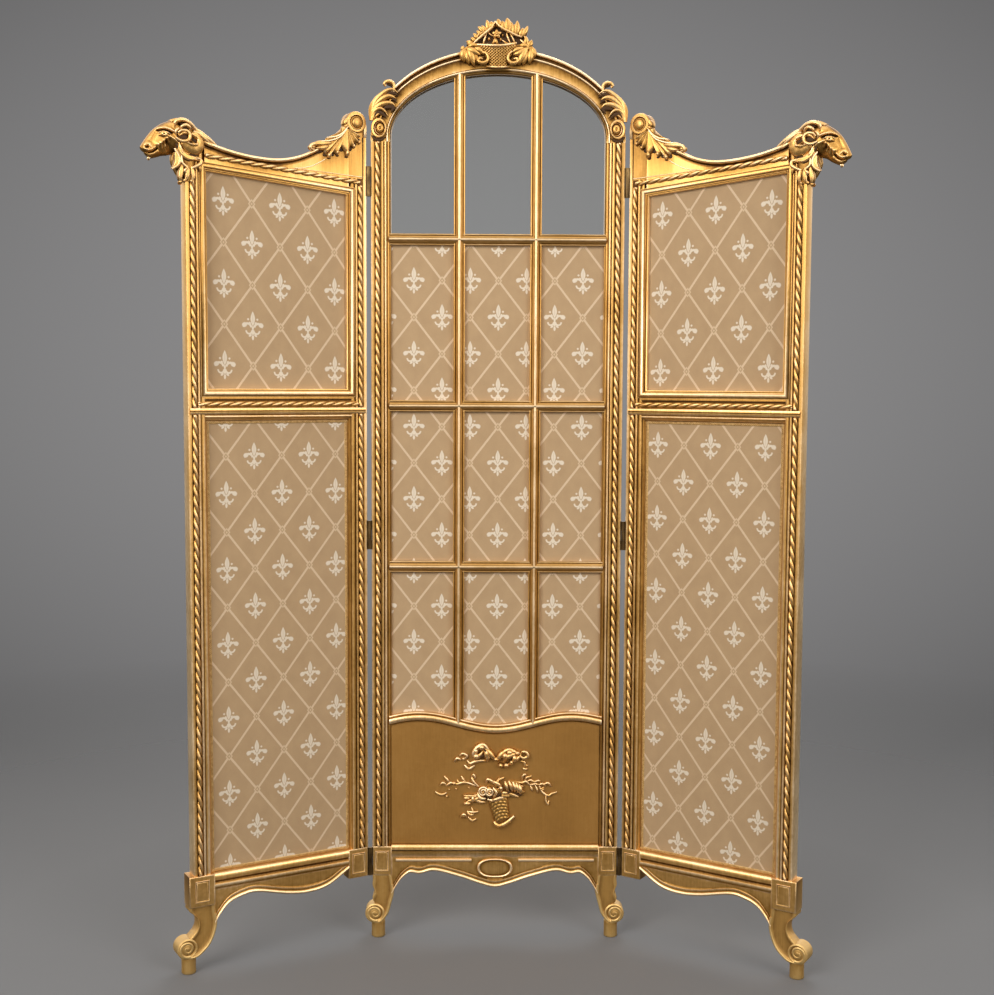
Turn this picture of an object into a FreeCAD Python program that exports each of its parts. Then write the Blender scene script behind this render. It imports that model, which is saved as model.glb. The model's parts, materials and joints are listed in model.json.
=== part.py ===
"""A three-leaf giltwood folding screen: an arched, glazed centre leaf and two fabric side leaves.

Sizes are in millimetres. Each leaf is drawn flat, with y running from its front face to its back and
z up from the floor. The centre leaf has x from its middle line. A side leaf has x outwards from its
hinge axis (towards -x on the left leaf) and is turned about that axis to its fold when it is placed.
"""
import FreeCAD, Part
import math
import os
import types

import Sketcher

Vector = FreeCAD.Vector

SIZES = [
    # leaves and folds
    ("leaf_thickness", 28, "stiles and rails, front to back"),
    ("centre_width", 502, "centre leaf over its stiles"),
    ("centre_stile_width", 39, "centre stile, edge to sight line"),
    ("side_width", 365, "side leaf over its stiles"),
    ("side_stile_width", 38, "side stile, edge to sight line"),
    ("leaf_gap", 8.6, "space between two leaves laid flat"),
    ("left_fold", 28.8, "left leaf, degrees forward of flat"),
    ("right_fold", 32.7, "right leaf, degrees forward of flat"),
    ("fit_clearance", 0.3, "soft or loose piece to its neighbour"),
    # blocks, legs and feet
    ("stile_foot", 192, "floor to the foot of the stiles"),
    ("block_height", 60, "corner block"),
    ("square_width", 24, "raised square on a block"),
    ("square_height", 36, "raised square on a block"),
    ("square_proud", 2.5, "raised square above its block"),
    ("inner_block_width", 43, "block under a side leaf's inner stile"),
    ("outer_block_width", 50, "block under a side leaf's outer stile"),
    ("outer_block_proud", 4, "outer block in front of and behind the leaf"),
    ("scroll_radius", 20, "roll at the foot of a leg"),
    ("scroll_height", 52, "floor to the middle of the roll"),
    ("scroll_proud", 2, "roll in front of its leg"),
    ("centre_scroll_inset", 5, "middle of the roll inside the centre leaf's edge"),
    ("outer_scroll_reach", 14.5, "middle of the roll outside the side leaf's edge"),
    ("leg_waist", 32, "thickness of a leg above its roll"),
    ("peg_diameter", 28, "foot peg"),
    ("peg_taper", 1.5, "radius lost at the floor"),
    ("peg_height", 36, "foot peg, floor to its bed in the roll"),
    # rails and aprons
    ("centre_rail_bottom", 171, "underside of the centre bottom rail"),
    ("centre_rail_height", 25, "centre bottom rail"),
    ("side_rail_height", 32, "side bottom rail, up to the stile foot"),
    ("rail_bead", 6, "rounded upper front edge of a bottom rail"),
    ("apron_thickness", 22, "aprons, front to back"),
    ("apron_setback", 2, "apron behind the leaf's front face"),
    ("apron_bead", 6, "raised edge along an apron"),
    ("apron_bead_proud", 4, "raised edge in front of the apron"),
    ("centre_apron_middle", 107, "floor to the middle of the centre apron"),
    ("cartouche_width", 74, "oval on the centre apron"),
    ("cartouche_height", 36, "oval on the centre apron"),
    ("cartouche_proud", 4, "oval in front of the apron"),
    # centre leaf lights
    ("inner_springing_below", 227, "overall height down to the middle of the inner ellipse"),
    ("inner_rise", 121, "inner ellipse, springing to crown"),
    ("outer_springing_below", 238, "overall height down to the top of the centre stiles"),
    ("outer_rise", 180, "outer ellipse, springing to crown"),
    ("arch_lip_width", 7, "raised outer edge of the arch"),
    ("arch_lip_proud", 4, "raised outer edge in front of the arch"),
    ("arch_lip_foot_below", 145, "overall height down to the lower ends of the raised edge"),
    ("bar_width", 22.5, "muntins and glazing bars"),
    ("bar_depth", 14, "muntins and glazing bars, front to back"),
    ("bar_chamfer", 5.5, "sloping sides of the bars"),
    ("muntin_offset", 76, "middle line to a muntin"),
    ("low_bar_height_below", 1081, "overall height down to the middle of the lowest bar"),
    ("middle_bar_height_below", 757, "overall height down to the middle of the middle bar"),
    ("top_bar_height_below", 427.5, "overall height down to the middle of the top bar"),
    ("glass_thickness", 3, "panes"),
    ("glass_recess", 6, "pane behind the front face"),
    ("wave_height", 448, "floor to the mean line of the serpentine rail"),
    ("wave_swing", 13, "rise and fall of the serpentine rail"),
    ("wave_length", 310, "length of one wave of the serpentine rail"),
    ("wave_rail_height", 19.5, "serpentine rail"),
    ("sight_bead_width", 14, "moulding at a centre stile's sight edge"),
    ("sight_bead_drop", 9, "fall of that moulding at the sight edge"),
    ("dado_recess", 8, "dado panel behind the front face"),
    ("dado_thickness", 8, "dado panel"),
    # side leaf panels
    ("mid_rail_bottom_below", 784, "overall height down to the underside of the mid rail"),
    ("mid_rail_height", 57, "mid rail"),
    ("band_bottom_below", 772, "overall height down to the underside of the flat band across the leaf"),
    ("band_height", 12, "flat band"),
    ("band_proud", 2.5, "flat band in front of the leaf"),
    ("band_inset", 4, "band ends inside the leaf's edges"),
    ("panel_top_below", 341.5, "overall height down to the top of the upper fabric at the inner stile"),
    ("top_slope", 0.085, "rise of the top rail towards the outer stile"),
    ("frame_width", 12, "moulding round the upper fabric"),
    ("frame_proud", 5, "that moulding in front of the leaf"),
    ("fabric_recess", 12, "fabric behind the front face"),
    ("fabric_thickness", 2, "fabric"),
    ("backing_thickness", 5, "board behind the fabric"),
    ("gimp_width", 6, "braid round the lower fabric"),
    ("gimp_thickness", 1.5, "braid"),
    ("rope_width", 10.5, "rope-twist bead"),
    ("rope_inset", 13.5, "leaf edge to the middle of the bead"),
    ("top_rope_rise", 24, "top bead above the upper fabric"),
    ("mid_rope_height_below", 752.5, "overall height down to the middle of the cross bead"),
    # crests
    ("crest_low_below", 288, "overall height down to the lowest point of the swept crest"),
    ("crest_low_reach", 203, "hinge axis to that lowest point"),
    ("crest_inner_rise", 78, "crest's rise at the inner stile"),
    ("crest_outer_rise", 22, "crest's rise at the outer stile"),
    ("crest_lip_height", 7, "raised top edge of the crest"),
    ("crest_lip_proud", 5, "that edge in front of the leaf"),
    ("inner_stile_top_below", 226, "overall height down to the top of the inner stile"),
    ("outer_stile_top_below", 282, "overall height down to the top of the outer stile"),
    ("collar_drop", 58, "ram's collar below the top of the outer stile"),
    ("outer_rope_drop", 42, "end of the outer bead below the top of the stile"),
    ("volute_radius", 21, "roll at the crest's inner end"),
    ("volute_reach", 28, "hinge axis to the middle of the roll"),
    ("volute_height_below", 205, "overall height down to the middle of the roll"),
    ("volute_proud", 5, "roll in front of the leaf"),
    ("leaf_relief", 8, "acanthus in front of the leaf"),
    ("nose_reach", 449, "hinge axis to the ram's nose"),
    ("nose_height_below", 297, "overall height down to the ram's nose"),
    ("crown_height_below", 228, "overall height down to the ram's crown"),
    ("head_breadth", 50, "ram's head across the brow"),
    ("horn_radius", 23, "outer curl of a horn"),
    ("horn_thickness", 17, "horn at its root"),
    ("overall_height", 1850, "floor to the tip of the flower basket"),
    ("basket_width", 54, "crest basket at its rim"),
    ("basket_height", 40, "crest basket, foot to rim"),
    ("bouquet_width", 140, "leaves either side of the basket"),
    ("trophy_proud", 13, "flowers in front of the dado panel"),
    # hinges
    ("hinge_height", 58, "butt hinge"),
    ("plate_depth", 24, "hinge plate, front to back"),
    ("plate_thickness", 2, "hinge plate"),
    ("knuckle_radius", 4, "hinge barrel"),
    ("knuckle_gap", 0.3, "end play between knuckles"),
    ("pin_radius", 2, "hinge pin"),
    ("pin_clearance", 0.05, "turning knuckle round its pin"),
    ("low_hinge_height", 162, "floor to the middle of the lowest hinge"),
    ("middle_hinge_height_below", 1016, "overall height down to the middle of the middle hinge"),
    ("top_hinge_height_below", 316, "overall height down to the middle of the top hinge"),
]


class Dim:
    """A size with its value now and the sheet expression that keeps it tied to its cells."""

    def __init__(self, value, text):
        self.value = value
        self.text = text

    def __add__(self, other):
        return Dim(self.value + number(other), f"({self.text} + {text(other)})")

    def __radd__(self, other):
        return Dim(number(other) + self.value, f"({text(other)} + {self.text})")

    def __sub__(self, other):
        return Dim(self.value - number(other), f"({self.text} - {text(other)})")

    def __rsub__(self, other):
        return Dim(number(other) - self.value, f"({text(other)} - {self.text})")

    def __mul__(self, other):
        return Dim(self.value * number(other), f"({self.text} * {text(other)})")

    __rmul__ = __mul__

    def __truediv__(self, other):
        return Dim(self.value / number(other), f"({self.text} / {text(other)})")

    def __neg__(self):
        return Dim(-self.value, f"(-1 * {self.text})")


def number(size):
    return size.value if isinstance(size, Dim) else float(size)


def text(size):
    return size.text if isinstance(size, Dim) else repr(float(size))


doc = FreeCAD.newDocument("folding_screen")
sheet = doc.addObject("Spreadsheet::Sheet", "Sizes")
for row, (alias, value, note) in enumerate(SIZES, start=1):
    sheet.set(f"A{row}", alias)
    sheet.set(f"B{row}", str(value))
    sheet.setAlias(f"B{row}", alias)
    sheet.set(f"C{row}", note)
doc.recompute()
d = types.SimpleNamespace(**{
    alias: Dim(float(sheet.get(alias)), f"Sizes.{alias}") for alias, _, _ in SIZES
})
# what stands above the dado is set out downwards from the overall height
for alias, _, _ in SIZES:
    if alias.endswith("_below"):
        setattr(d, alias[:-len("_below")], d.overall_height - getattr(d, alias))

# lines that several pieces share
ZERO = Dim(0.0, "0")
FRONT = ZERO
HALF_WIDTH = d.centre_width / 2
SIGHT = HALF_WIDTH - d.centre_stile_width
HALF_GAP = d.leaf_gap / 2
HINGE_X = HALF_WIDTH + HALF_GAP
INNER_SIGHT = HALF_GAP + d.side_stile_width
OUTER_EDGE = HALF_GAP + d.side_width
OUTER_SIGHT = OUTER_EDGE - d.side_stile_width
BLOCK_FOOT = d.stile_foot - d.block_height
INNER_BLOCK_EDGE = HALF_GAP + d.inner_block_width
OUTER_BLOCK_MIDDLE = OUTER_EDGE - d.rope_inset - 1.8
OUTER_BLOCK_INNER = OUTER_BLOCK_MIDDLE - d.outer_block_width / 2
OUTER_BLOCK_OUTER = OUTER_BLOCK_MIDDLE + d.outer_block_width / 2
SIDE_RAIL_FOOT = d.stile_foot - d.side_rail_height
MID_RAIL_TOP = d.mid_rail_bottom + d.mid_rail_height
FABRIC_BACK = d.fabric_recess + d.fabric_thickness
SIDES = (("left", -1), ("right", 1))

nodes = []


def keep(obj, label, leaf):
    """Names a finished piece and notes the leaf that carries it."""
    obj.Label = label
    nodes.append((obj, leaf))
    return obj


def origin_plane(body, role):
    return next(feature for feature in body.Origin.OriginFeatures if feature.Role == role)


def bound_sketch(body, name, role, loops, offset):
    """A sketch of closed straight-sided loops whose corners are tied to the sheet."""
    sketch = body.newObject("Sketcher::SketchObject", name)
    sketch.AttachmentSupport = [(origin_plane(body, role), "")]
    sketch.MapMode = "FlatFace"
    sketch.setExpression("AttachmentOffset.Base.z", text(offset))
    for corners in loops:
        first = sketch.GeometryCount
        count = len(corners)
        points = [Vector(number(a), number(b), 0) for a, b in corners]
        for i in range(count):
            sketch.addGeometry(Part.LineSegment(points[i], points[(i + 1) % count]), False)
        for i in range(count):
            following = first + (i + 1) % count
            sketch.addConstraint(Sketcher.Constraint("Coincident", first + i, 2, following, 1))
        for i, corner in enumerate(corners):
            for kind, size in zip(("DistanceX", "DistanceY"), corner):
                index = sketch.addConstraint(Sketcher.Constraint(kind, first + i, 1, number(size)))
                sketch.setExpression(f"Constraints[{index}]", text(size))
    return sketch


def padded(name, role, loops, offset, length):
    """A body with one pad of the loops, drawn on an origin plane."""
    body = doc.addObject("PartDesign::Body", name)
    pad = body.newObject("PartDesign::Pad", name + "_pad")
    pad.Profile = bound_sketch(body, name + "_outline", role, loops, offset)
    pad.setExpression("Length", text(length))
    return body


def plate(name, corners, front, back):
    """A flat piece: an outline in x and z between two depths."""
    return padded(name, "XZ_Plane", [corners], -1 * back, back - front)


def upright(name, section, foot, top):
    """A vertical bar: a section in x and y carried up from foot to top."""
    return padded(name, "XY_Plane", [section], foot, top - foot)


def rail(name, section, start, end):
    """A horizontal bar: a section in y and z carried along x."""
    return padded(name, "YZ_Plane", [section], start, end - start)


def rectangle(a0, b0, a1, b1):
    return [(a0, b0), (a1, b0), (a1, b1), (a0, b1)]


def cut_mortises(body, edge, inward, heights):
    """Sinks a hinge plate's bed into a stile's or block's edge at each height, open at the front."""
    doc.recompute()
    before = body.Shape.Volume
    beds = [
        rectangle(edge, z - d.hinge_height / 2, edge + inward * d.plate_thickness, z + d.hinge_height / 2)
        for z in heights
    ]
    pocket = body.newObject("PartDesign::Pocket", body.Name + "_mortises")
    pocket.Profile = bound_sketch(body, body.Name + "_beds", "XZ_Plane", beds, FRONT)
    pocket.setExpression("Length", text(d.plate_depth))
    doc.recompute()
    if body.Shape.Volume >= before:
        raise RuntimeError(f"{body.Name}: the hinge mortises cut nothing")


def group(name, members):
    """Separate solids that share a node."""
    compound = doc.addObject("Part::Compound", name)
    compound.Links = members
    return compound


def feature(name, shape):
    """A carved or curved piece whose shape is worked out here from the sheet's sizes."""
    obj = doc.addObject("Part::Feature", name)
    obj.Shape = shape
    return obj


def at(x, z, y=0.0):
    return Vector(number(x), number(y), number(z))


def spline(points):
    """A smooth edge through points given as x and z."""
    curve = Part.BSplineCurve()
    curve.interpolate([at(x, z) for x, z in points])
    return curve.toShape()


def lines(points):
    """Straight edges from point to point."""
    return [Part.LineSegment(at(*a), at(*b)).toShape() for a, b in zip(points, points[1:])]


def board(edges, front, back):
    """A face bounded by edges in x and z, thickened from front to back."""
    face = Part.Face(Part.Wire(Part.__sortEdges__(edges)))
    solid = face.extrude(Vector(0, number(back) - number(front), 0))
    solid.translate(Vector(0, number(front), 0))
    return solid


def for_side(shape, side):
    """The shape as drawn for the right leaf, or its mirror image for the left."""
    return shape if side > 0 else shape.mirror(Vector(), Vector(1, 0, 0))


def seated(shape, *carriers):
    """The shape with the wood that carries it taken away, so that it sits on its faces."""
    for carrier in carriers:
        shape = shape.cut(carrier)
    return shape.removeSplitter()


def largest_solid(shape):
    return max(shape.Solids, key=lambda solid: solid.Volume)


def ellipse_arc(half_width, rise, springing):
    """The upper half of an ellipse about the middle line."""
    curve = Part.Ellipse(Vector(), number(half_width), number(rise))
    upright_frame = FreeCAD.Placement(at(0, springing), FreeCAD.Rotation(Vector(1, 0, 0), 90))
    edge = Part.ArcOfEllipse(curve, 0, math.pi).toShape()
    edge.Placement = upright_frame
    return edge


def closed_outline(points):
    """A closed straight-sided wire through points."""
    return Part.makePolygon(points + points[:1])


def oval(x, z, y, half_width, half_height):
    """An upright twelve-sided oval at a depth."""
    turns = [math.radians(30 * i) for i in range(12)]
    points = [at(x + half_width * math.cos(a), z + half_height * math.sin(a), y) for a in turns]
    return closed_outline(points)


def oval_boss(x, z, half_width, half_height, proud, back=0.0):
    """A low oval boss on a plane, sloping in to a face of six tenths its size."""
    base = oval(x, z, back, half_width, half_height)
    face = oval(x, z, back - proud, 0.6 * half_width, 0.6 * half_height)
    return Part.makeLoft([base, face], True, True)


def tapered_tub(x, z, y, half_width, half_depth, top_x, top_z, spread):
    """A twelve-sided tub that widens from its foot to its rim, upright in z."""
    turns = [math.radians(30 * i) for i in range(12)]
    rings = []
    for ring_x, ring_z, wide, deep in (
        (x, z, half_width, half_depth), (top_x, top_z, spread * half_width, spread * half_depth),
    ):
        rings.append(closed_outline([
            at(ring_x + wide * math.cos(a), ring_z, y + deep * math.sin(a)) for a in turns
        ]))
    return Part.makeLoft(rings, True, True)


def blade(root, tip, width, front, back):
    """A carved leaf of even thickness: a blunt root set 2 mm back, two shoulders and a pointed tip."""
    (x0, z0), (x1, z1) = root, tip
    length = math.hypot(x1 - x0, z1 - z0)
    along = ((x1 - x0) / length, (z1 - z0) / length)
    half = ((-2.0, 0.2), (0.3 * length, 0.5), (0.62 * length, 0.46))
    upper = [(reach, share * width) for reach, share in half]
    lower = [(reach, -side) for reach, side in reversed(upper)]
    corners = [
        (x0 + reach * along[0] - side * along[1], z0 + reach * along[1] + side * along[0])
        for reach, side in upper + [(length, 0)] + lower
    ]
    return board(lines(corners + corners[:1]), front, back)


def ribbon_loop(root, tip, width, band, front, back):
    """A loop of ribbon: a pointed leaf with a smaller one cut from it."""
    (x0, z0), (x1, z1) = root, tip
    inset = band / math.hypot(x1 - x0, z1 - z0)
    inner_root = (x0 + 1.5 * inset * (x1 - x0), z0 + 1.5 * inset * (z1 - z0))
    inner_tip = (x1 - inset * (x1 - x0), z1 - inset * (z1 - z0))
    hole = blade(inner_root, inner_tip, width - 2 * band, front, back)
    return blade(root, tip, width, front, back).cut(hole)


# Centre leaf


def centre_stile(name, side):
    """A stile with a moulded sight edge, and beds for the two upper hinges in its outer edge."""
    sight, bead = SIGHT, d.sight_bead_width
    section = [
        (side * HALF_WIDTH, 0),
        (side * HALF_WIDTH, d.leaf_thickness),
        (side * sight, d.leaf_thickness),
        (side * sight, d.sight_bead_drop),
        (side * (sight + bead * 0.35), d.sight_bead_drop / 2),
        (side * (sight + bead * 0.7), d.sight_bead_drop / 6),
        (side * (sight + bead * 0.9), d.sight_bead_drop / 3),
        (side * (sight + bead), 0),
    ]
    stile = upright(name, section, d.stile_foot, d.outer_springing)
    cut_mortises(stile, side * HALF_WIDTH, -side, [d.middle_hinge_height, d.top_hinge_height])
    return stile


def arch_rail():
    """The board between two ellipses that share the stiles' lines, with a raised outer edge."""
    outer = ellipse_arc(HALF_WIDTH, d.outer_rise, d.outer_springing)
    inner = ellipse_arc(SIGHT, d.inner_rise, d.inner_springing)
    legs = []
    for side in (-1, 1):
        legs += lines([
            (side * HALF_WIDTH, d.outer_springing),
            (side * SIGHT, d.outer_springing),
            (side * SIGHT, d.inner_springing),
        ])
    arch = board([outer, inner] + legs, 0, d.leaf_thickness)
    lip_width = d.arch_lip_width
    lip_inner = ellipse_arc(HALF_WIDTH - lip_width, d.outer_rise - lip_width, d.outer_springing)
    lip_ends = []
    for side in (-1, 1):
        lip_ends += lines([
            (side * HALF_WIDTH, d.outer_springing),
            (side * (HALF_WIDTH - lip_width), d.outer_springing),
        ])
    lip = board([outer, lip_inner] + lip_ends, -1 * d.arch_lip_proud, 0)
    below = Part.makeBox(
        number(d.centre_width),
        2 * number(d.arch_lip_proud),
        number(d.arch_lip_foot - d.outer_springing),
        at(-HALF_WIDTH, d.outer_springing, -1 * d.arch_lip_proud),
    )
    return arch.fuse(lip.cut(below)).removeSplitter()


def wave(x, lift):
    """Height of the serpentine rail's line at x, lifted from its mean line."""
    turn = math.cos(2 * math.pi * x / number(d.wave_length))
    return number(d.wave_height) - number(d.wave_swing) * turn + number(lift)


def wave_edge(half_length, lift):
    """The serpentine line from side to side, sixteen points to its length."""
    steps = 16
    reach = number(half_length)
    stations = [reach * (2 * i / steps - 1) for i in range(steps + 1)]
    return spline([(x, wave(x, lift)) for x in stations])


def serpentine_rail(stiles):
    """The waved rail under the lights, scribed to the stiles' mouldings."""
    end = SIGHT + d.sight_bead_width
    half = d.wave_rail_height / 2
    reach = number(end)
    low, high = wave(reach, -1 * half), wave(reach, half)
    ends = [lines([(side * reach, low), (side * reach, high)])[0] for side in (-1, 1)]
    waved = board([wave_edge(end, half), wave_edge(end, -1 * half)] + ends, 0, d.leaf_thickness)
    return largest_solid(seated(waved, *stiles))


def dado_panel():
    """The flat panel between the bottom rail and the serpentine rail."""
    reach = SIGHT - d.fit_clearance
    foot = d.centre_rail_bottom + d.centre_rail_height + d.fit_clearance
    lift = -1 * d.wave_rail_height / 2 - d.fit_clearance
    corner = wave(number(reach), lift)
    sides = lines([(-reach, corner), (-reach, foot), (reach, foot), (reach, corner)])
    return board([wave_edge(reach, lift)] + sides, d.dado_recess, d.dado_recess + d.dado_thickness)


def bar_section(flat):
    """Section of a glazing bar about a middle line: a flat front, sloping sides and a square back."""
    half, slope = d.bar_width / 2, d.bar_chamfer
    return [
        (flat - half, d.bar_depth),
        (flat - half, slope),
        (flat - half + slope, 0),
        (flat + half - slope, 0),
        (flat + half, slope),
        (flat + half, d.bar_depth),
    ]


def muntin(name, side, arch, serpentine):
    """An upright bar scribed to the arch above and the serpentine rail below."""
    foot, top = d.wave_height, d.inner_springing + d.inner_rise
    blank = upright(name + "_blank", bar_section(side * d.muntin_offset), foot, top)
    doc.recompute()
    return feature(name, largest_solid(seated(blank.Shape, arch, serpentine)))


def glazing_bars(stiles, uprights):
    """Three rows of bars, each row cut into three lengths by the muntins."""
    rows = []
    heights = {"low": d.low_bar_height, "middle": d.middle_bar_height, "top": d.top_bar_height}
    for place, height in heights.items():
        section = [(depth, z) for z, depth in bar_section(height)]
        end = SIGHT + d.sight_bead_width
        blank = rail(f"{place}_bar_blank", section, -end, end)
        doc.recompute()
        rows.append(feature(f"{place}_bar", seated(blank.Shape, *stiles, *uprights)))
    return group("glazing_bars", rows)


def glass_panes():
    """Three panes between the stiles, muntins, top bar and arch."""
    gap = d.fit_clearance
    foot = d.top_bar_height + d.bar_width / 2 + gap
    reach = number(SIGHT - gap)
    spring = number(d.inner_springing)
    arch = ellipse_arc(SIGHT - gap, d.inner_rise - gap, d.inner_springing)
    sheet_edges = [arch] + lines([(-reach, spring), (-reach, foot), (reach, foot), (reach, spring)])
    glass = board(sheet_edges, d.glass_recess, d.glass_recess + d.glass_thickness)
    slot = number(d.bar_width + 2 * gap)
    slot_depth, slot_height = number(d.leaf_thickness), 2 * number(d.inner_rise) + spring
    for side in (-1, 1):
        corner = at(side * d.muntin_offset - slot / 2, foot, 0)
        glass = glass.cut(Part.makeBox(slot, slot_depth, slot_height, corner))
    return glass


def centre_sheet(front, thickness):
    """A flat sheet behind the nine lower lights, from the serpentine rail to the top bar."""
    gap = d.fit_clearance
    reach = SIGHT - gap
    lift = d.wave_rail_height / 2 + gap
    corner = wave(number(reach), lift)
    top = d.top_bar_height + d.bar_width / 2
    sides = lines([(-reach, corner), (-reach, top), (reach, top), (reach, corner)])
    return board([wave_edge(reach, lift)] + sides, front, front + thickness)


def moulded_rail(name, foot, top, start, end):
    """A bottom rail with its upper front edge rounded in two facets."""
    bead = d.rail_bead
    section = [
        (0, foot),
        (d.leaf_thickness, foot),
        (d.leaf_thickness, top),
        (bead, top),
        (bead * 0.3, top - bead * 0.3),
        (0, top - bead),
    ]
    return rail(name, section, start, end)


def edged_apron(lower_points, upper):
    """An apron whose smooth lower edge carries a raised bead, closed above by straight edges."""
    edge = spline(lower_points)
    front = d.apron_setback
    apron = board([edge] + lines(upper), front, front + d.apron_thickness)
    bead = number(d.apron_bead)
    raised = spline([(number(x), number(z) + bead) for x, z in lower_points])
    ends = [
        lines([(x, z), (number(x), number(z) + bead)])[0]
        for x, z in (lower_points[0], lower_points[-1])
    ]
    edging = board([edge, raised] + ends, front - d.apron_bead_proud, front)
    return apron.fuse(edging).removeSplitter()


def centre_apron():
    """The centre apron: a shaped edge drawn for the right half and mirrored, and an oval cartouche."""
    middle = number(d.centre_apron_middle)
    drop = number(BLOCK_FOOT) - 40
    # the edge's turns as a share of the half sight, with a height above the middle
    turns = ((0.142, 7), (0.335, 21), (0.58, 34), (0.726, 28), (0.82, 30), (0.896, 19), (0.943, 6))
    half = [(share * number(SIGHT), middle + lift) for share, lift in turns] + [(number(SIGHT), drop)]
    points = [(-x, z) for x, z in reversed(half)] + [(0, middle)] + half
    top = d.centre_rail_bottom
    apron = edged_apron(points, [(SIGHT, drop), (SIGHT, top), (-SIGHT, top), (-SIGHT, drop)])
    half_width, half_height = number(d.cartouche_width) / 2, number(d.cartouche_height) / 2
    height = number(top) - half_height - 3
    proud, face = number(d.cartouche_proud), number(d.apron_setback)
    cartouche = oval_boss(0, height, half_width, half_height, proud, face)
    return apron.fuse(cartouche).removeSplitter()


def square_block(name, inner, outer, foot, front, back, square_middle):
    """A corner block with a raised square on its face."""
    block = plate(name, rectangle(inner, foot, outer, d.stile_foot), front, back)
    half_width, half_height = d.square_width / 2, d.square_height / 2
    middle = (foot + d.stile_foot) / 2
    square = rectangle(
        square_middle - half_width, middle - half_height,
        square_middle + half_width, middle + half_height,
    )
    raised = block.newObject("PartDesign::Pad", name + "_square_pad")
    raised.Profile = bound_sketch(block, name + "_square", "XZ_Plane", [square], -1 * front)
    raised.setExpression("Length", text(d.square_proud))
    return block


def scroll_leg(inner, outer, roll_x, waist, inner_drop):
    """A sawn scroll leg: a waisted board under its block that ends in a round roll."""
    foot = number(BLOCK_FOOT)
    roll_z, radius = number(d.scroll_height), number(d.scroll_radius)
    inner, outer, roll_x, waist = (number(value) for value in (inner, outer, roll_x, waist))
    thick = number(d.leg_waist)
    toe = (roll_x - radius * 0.4, roll_z - radius * 0.9)
    heel = (roll_x - radius * 0.25, roll_z + radius * 0.9)
    knee = (waist - thick * 0.6, roll_z + radius * 0.85)
    inner_edge = Part.Arc(at(inner, inner_drop), at(*knee), at(*toe)).toShape()
    outer_edge = Part.Arc(at(outer, foot), at(waist, foot - radius * 1.3), at(*heel)).toShape()
    straight = lines([(inner, inner_drop), (inner, foot), (outer, foot)])
    straight += lines([toe, (roll_x, roll_z), heel])
    leg = board([inner_edge, outer_edge] + straight, 0, d.leaf_thickness)
    proud = number(d.scroll_proud)
    roll = Part.makeCylinder(
        radius, number(d.leaf_thickness) + 2 * proud, at(roll_x, roll_z, -proud), Vector(0, 1, 0)
    )
    return leg.fuse(roll).removeSplitter()


def foot_peg(roll_x, inward, leg):
    """A tapered round peg let into the underside of the leg's roll."""
    radius = number(d.peg_diameter) / 2
    middle = number(roll_x) + inward * number(d.scroll_radius) * 0.3
    base = at(middle, 0, d.leaf_thickness / 2)
    peg = Part.makeCone(radius - number(d.peg_taper), radius, number(d.peg_height), base)
    return largest_solid(seated(peg, leg))


def arch_acanthus(side, arch, stile):
    """A leaf that climbs the arch from an oval volute at its springing and ends in a small curl."""
    relief = number(d.leaf_relief)
    x, z = number(HALF_WIDTH), number(d.inner_springing)
    volute = oval_boss(x - 20, z + 18, 18, 23, relief - 1)
    root = (x - 18, z + 32)
    lobes = [
        blade(root, (x - 36, z + 96), 24, -relief, 0),
        blade((x - 20, z + 46), (x - 53, z + 78), 15, -0.8 * relief, 0),
        blade(root, (x - 46, z + 60), 14, -0.8 * relief, 0),
        blade((x - 16, z + 38), (x - 5, z + 66), 13, -0.6 * relief, 0),
        oval_boss(x - 36, z + 93, 8, 8, relief),
    ]
    leaf = volute.fuse(lobes)
    return for_side(largest_solid(seated(leaf, for_side(arch, side), for_side(stile, side))), side)


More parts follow.
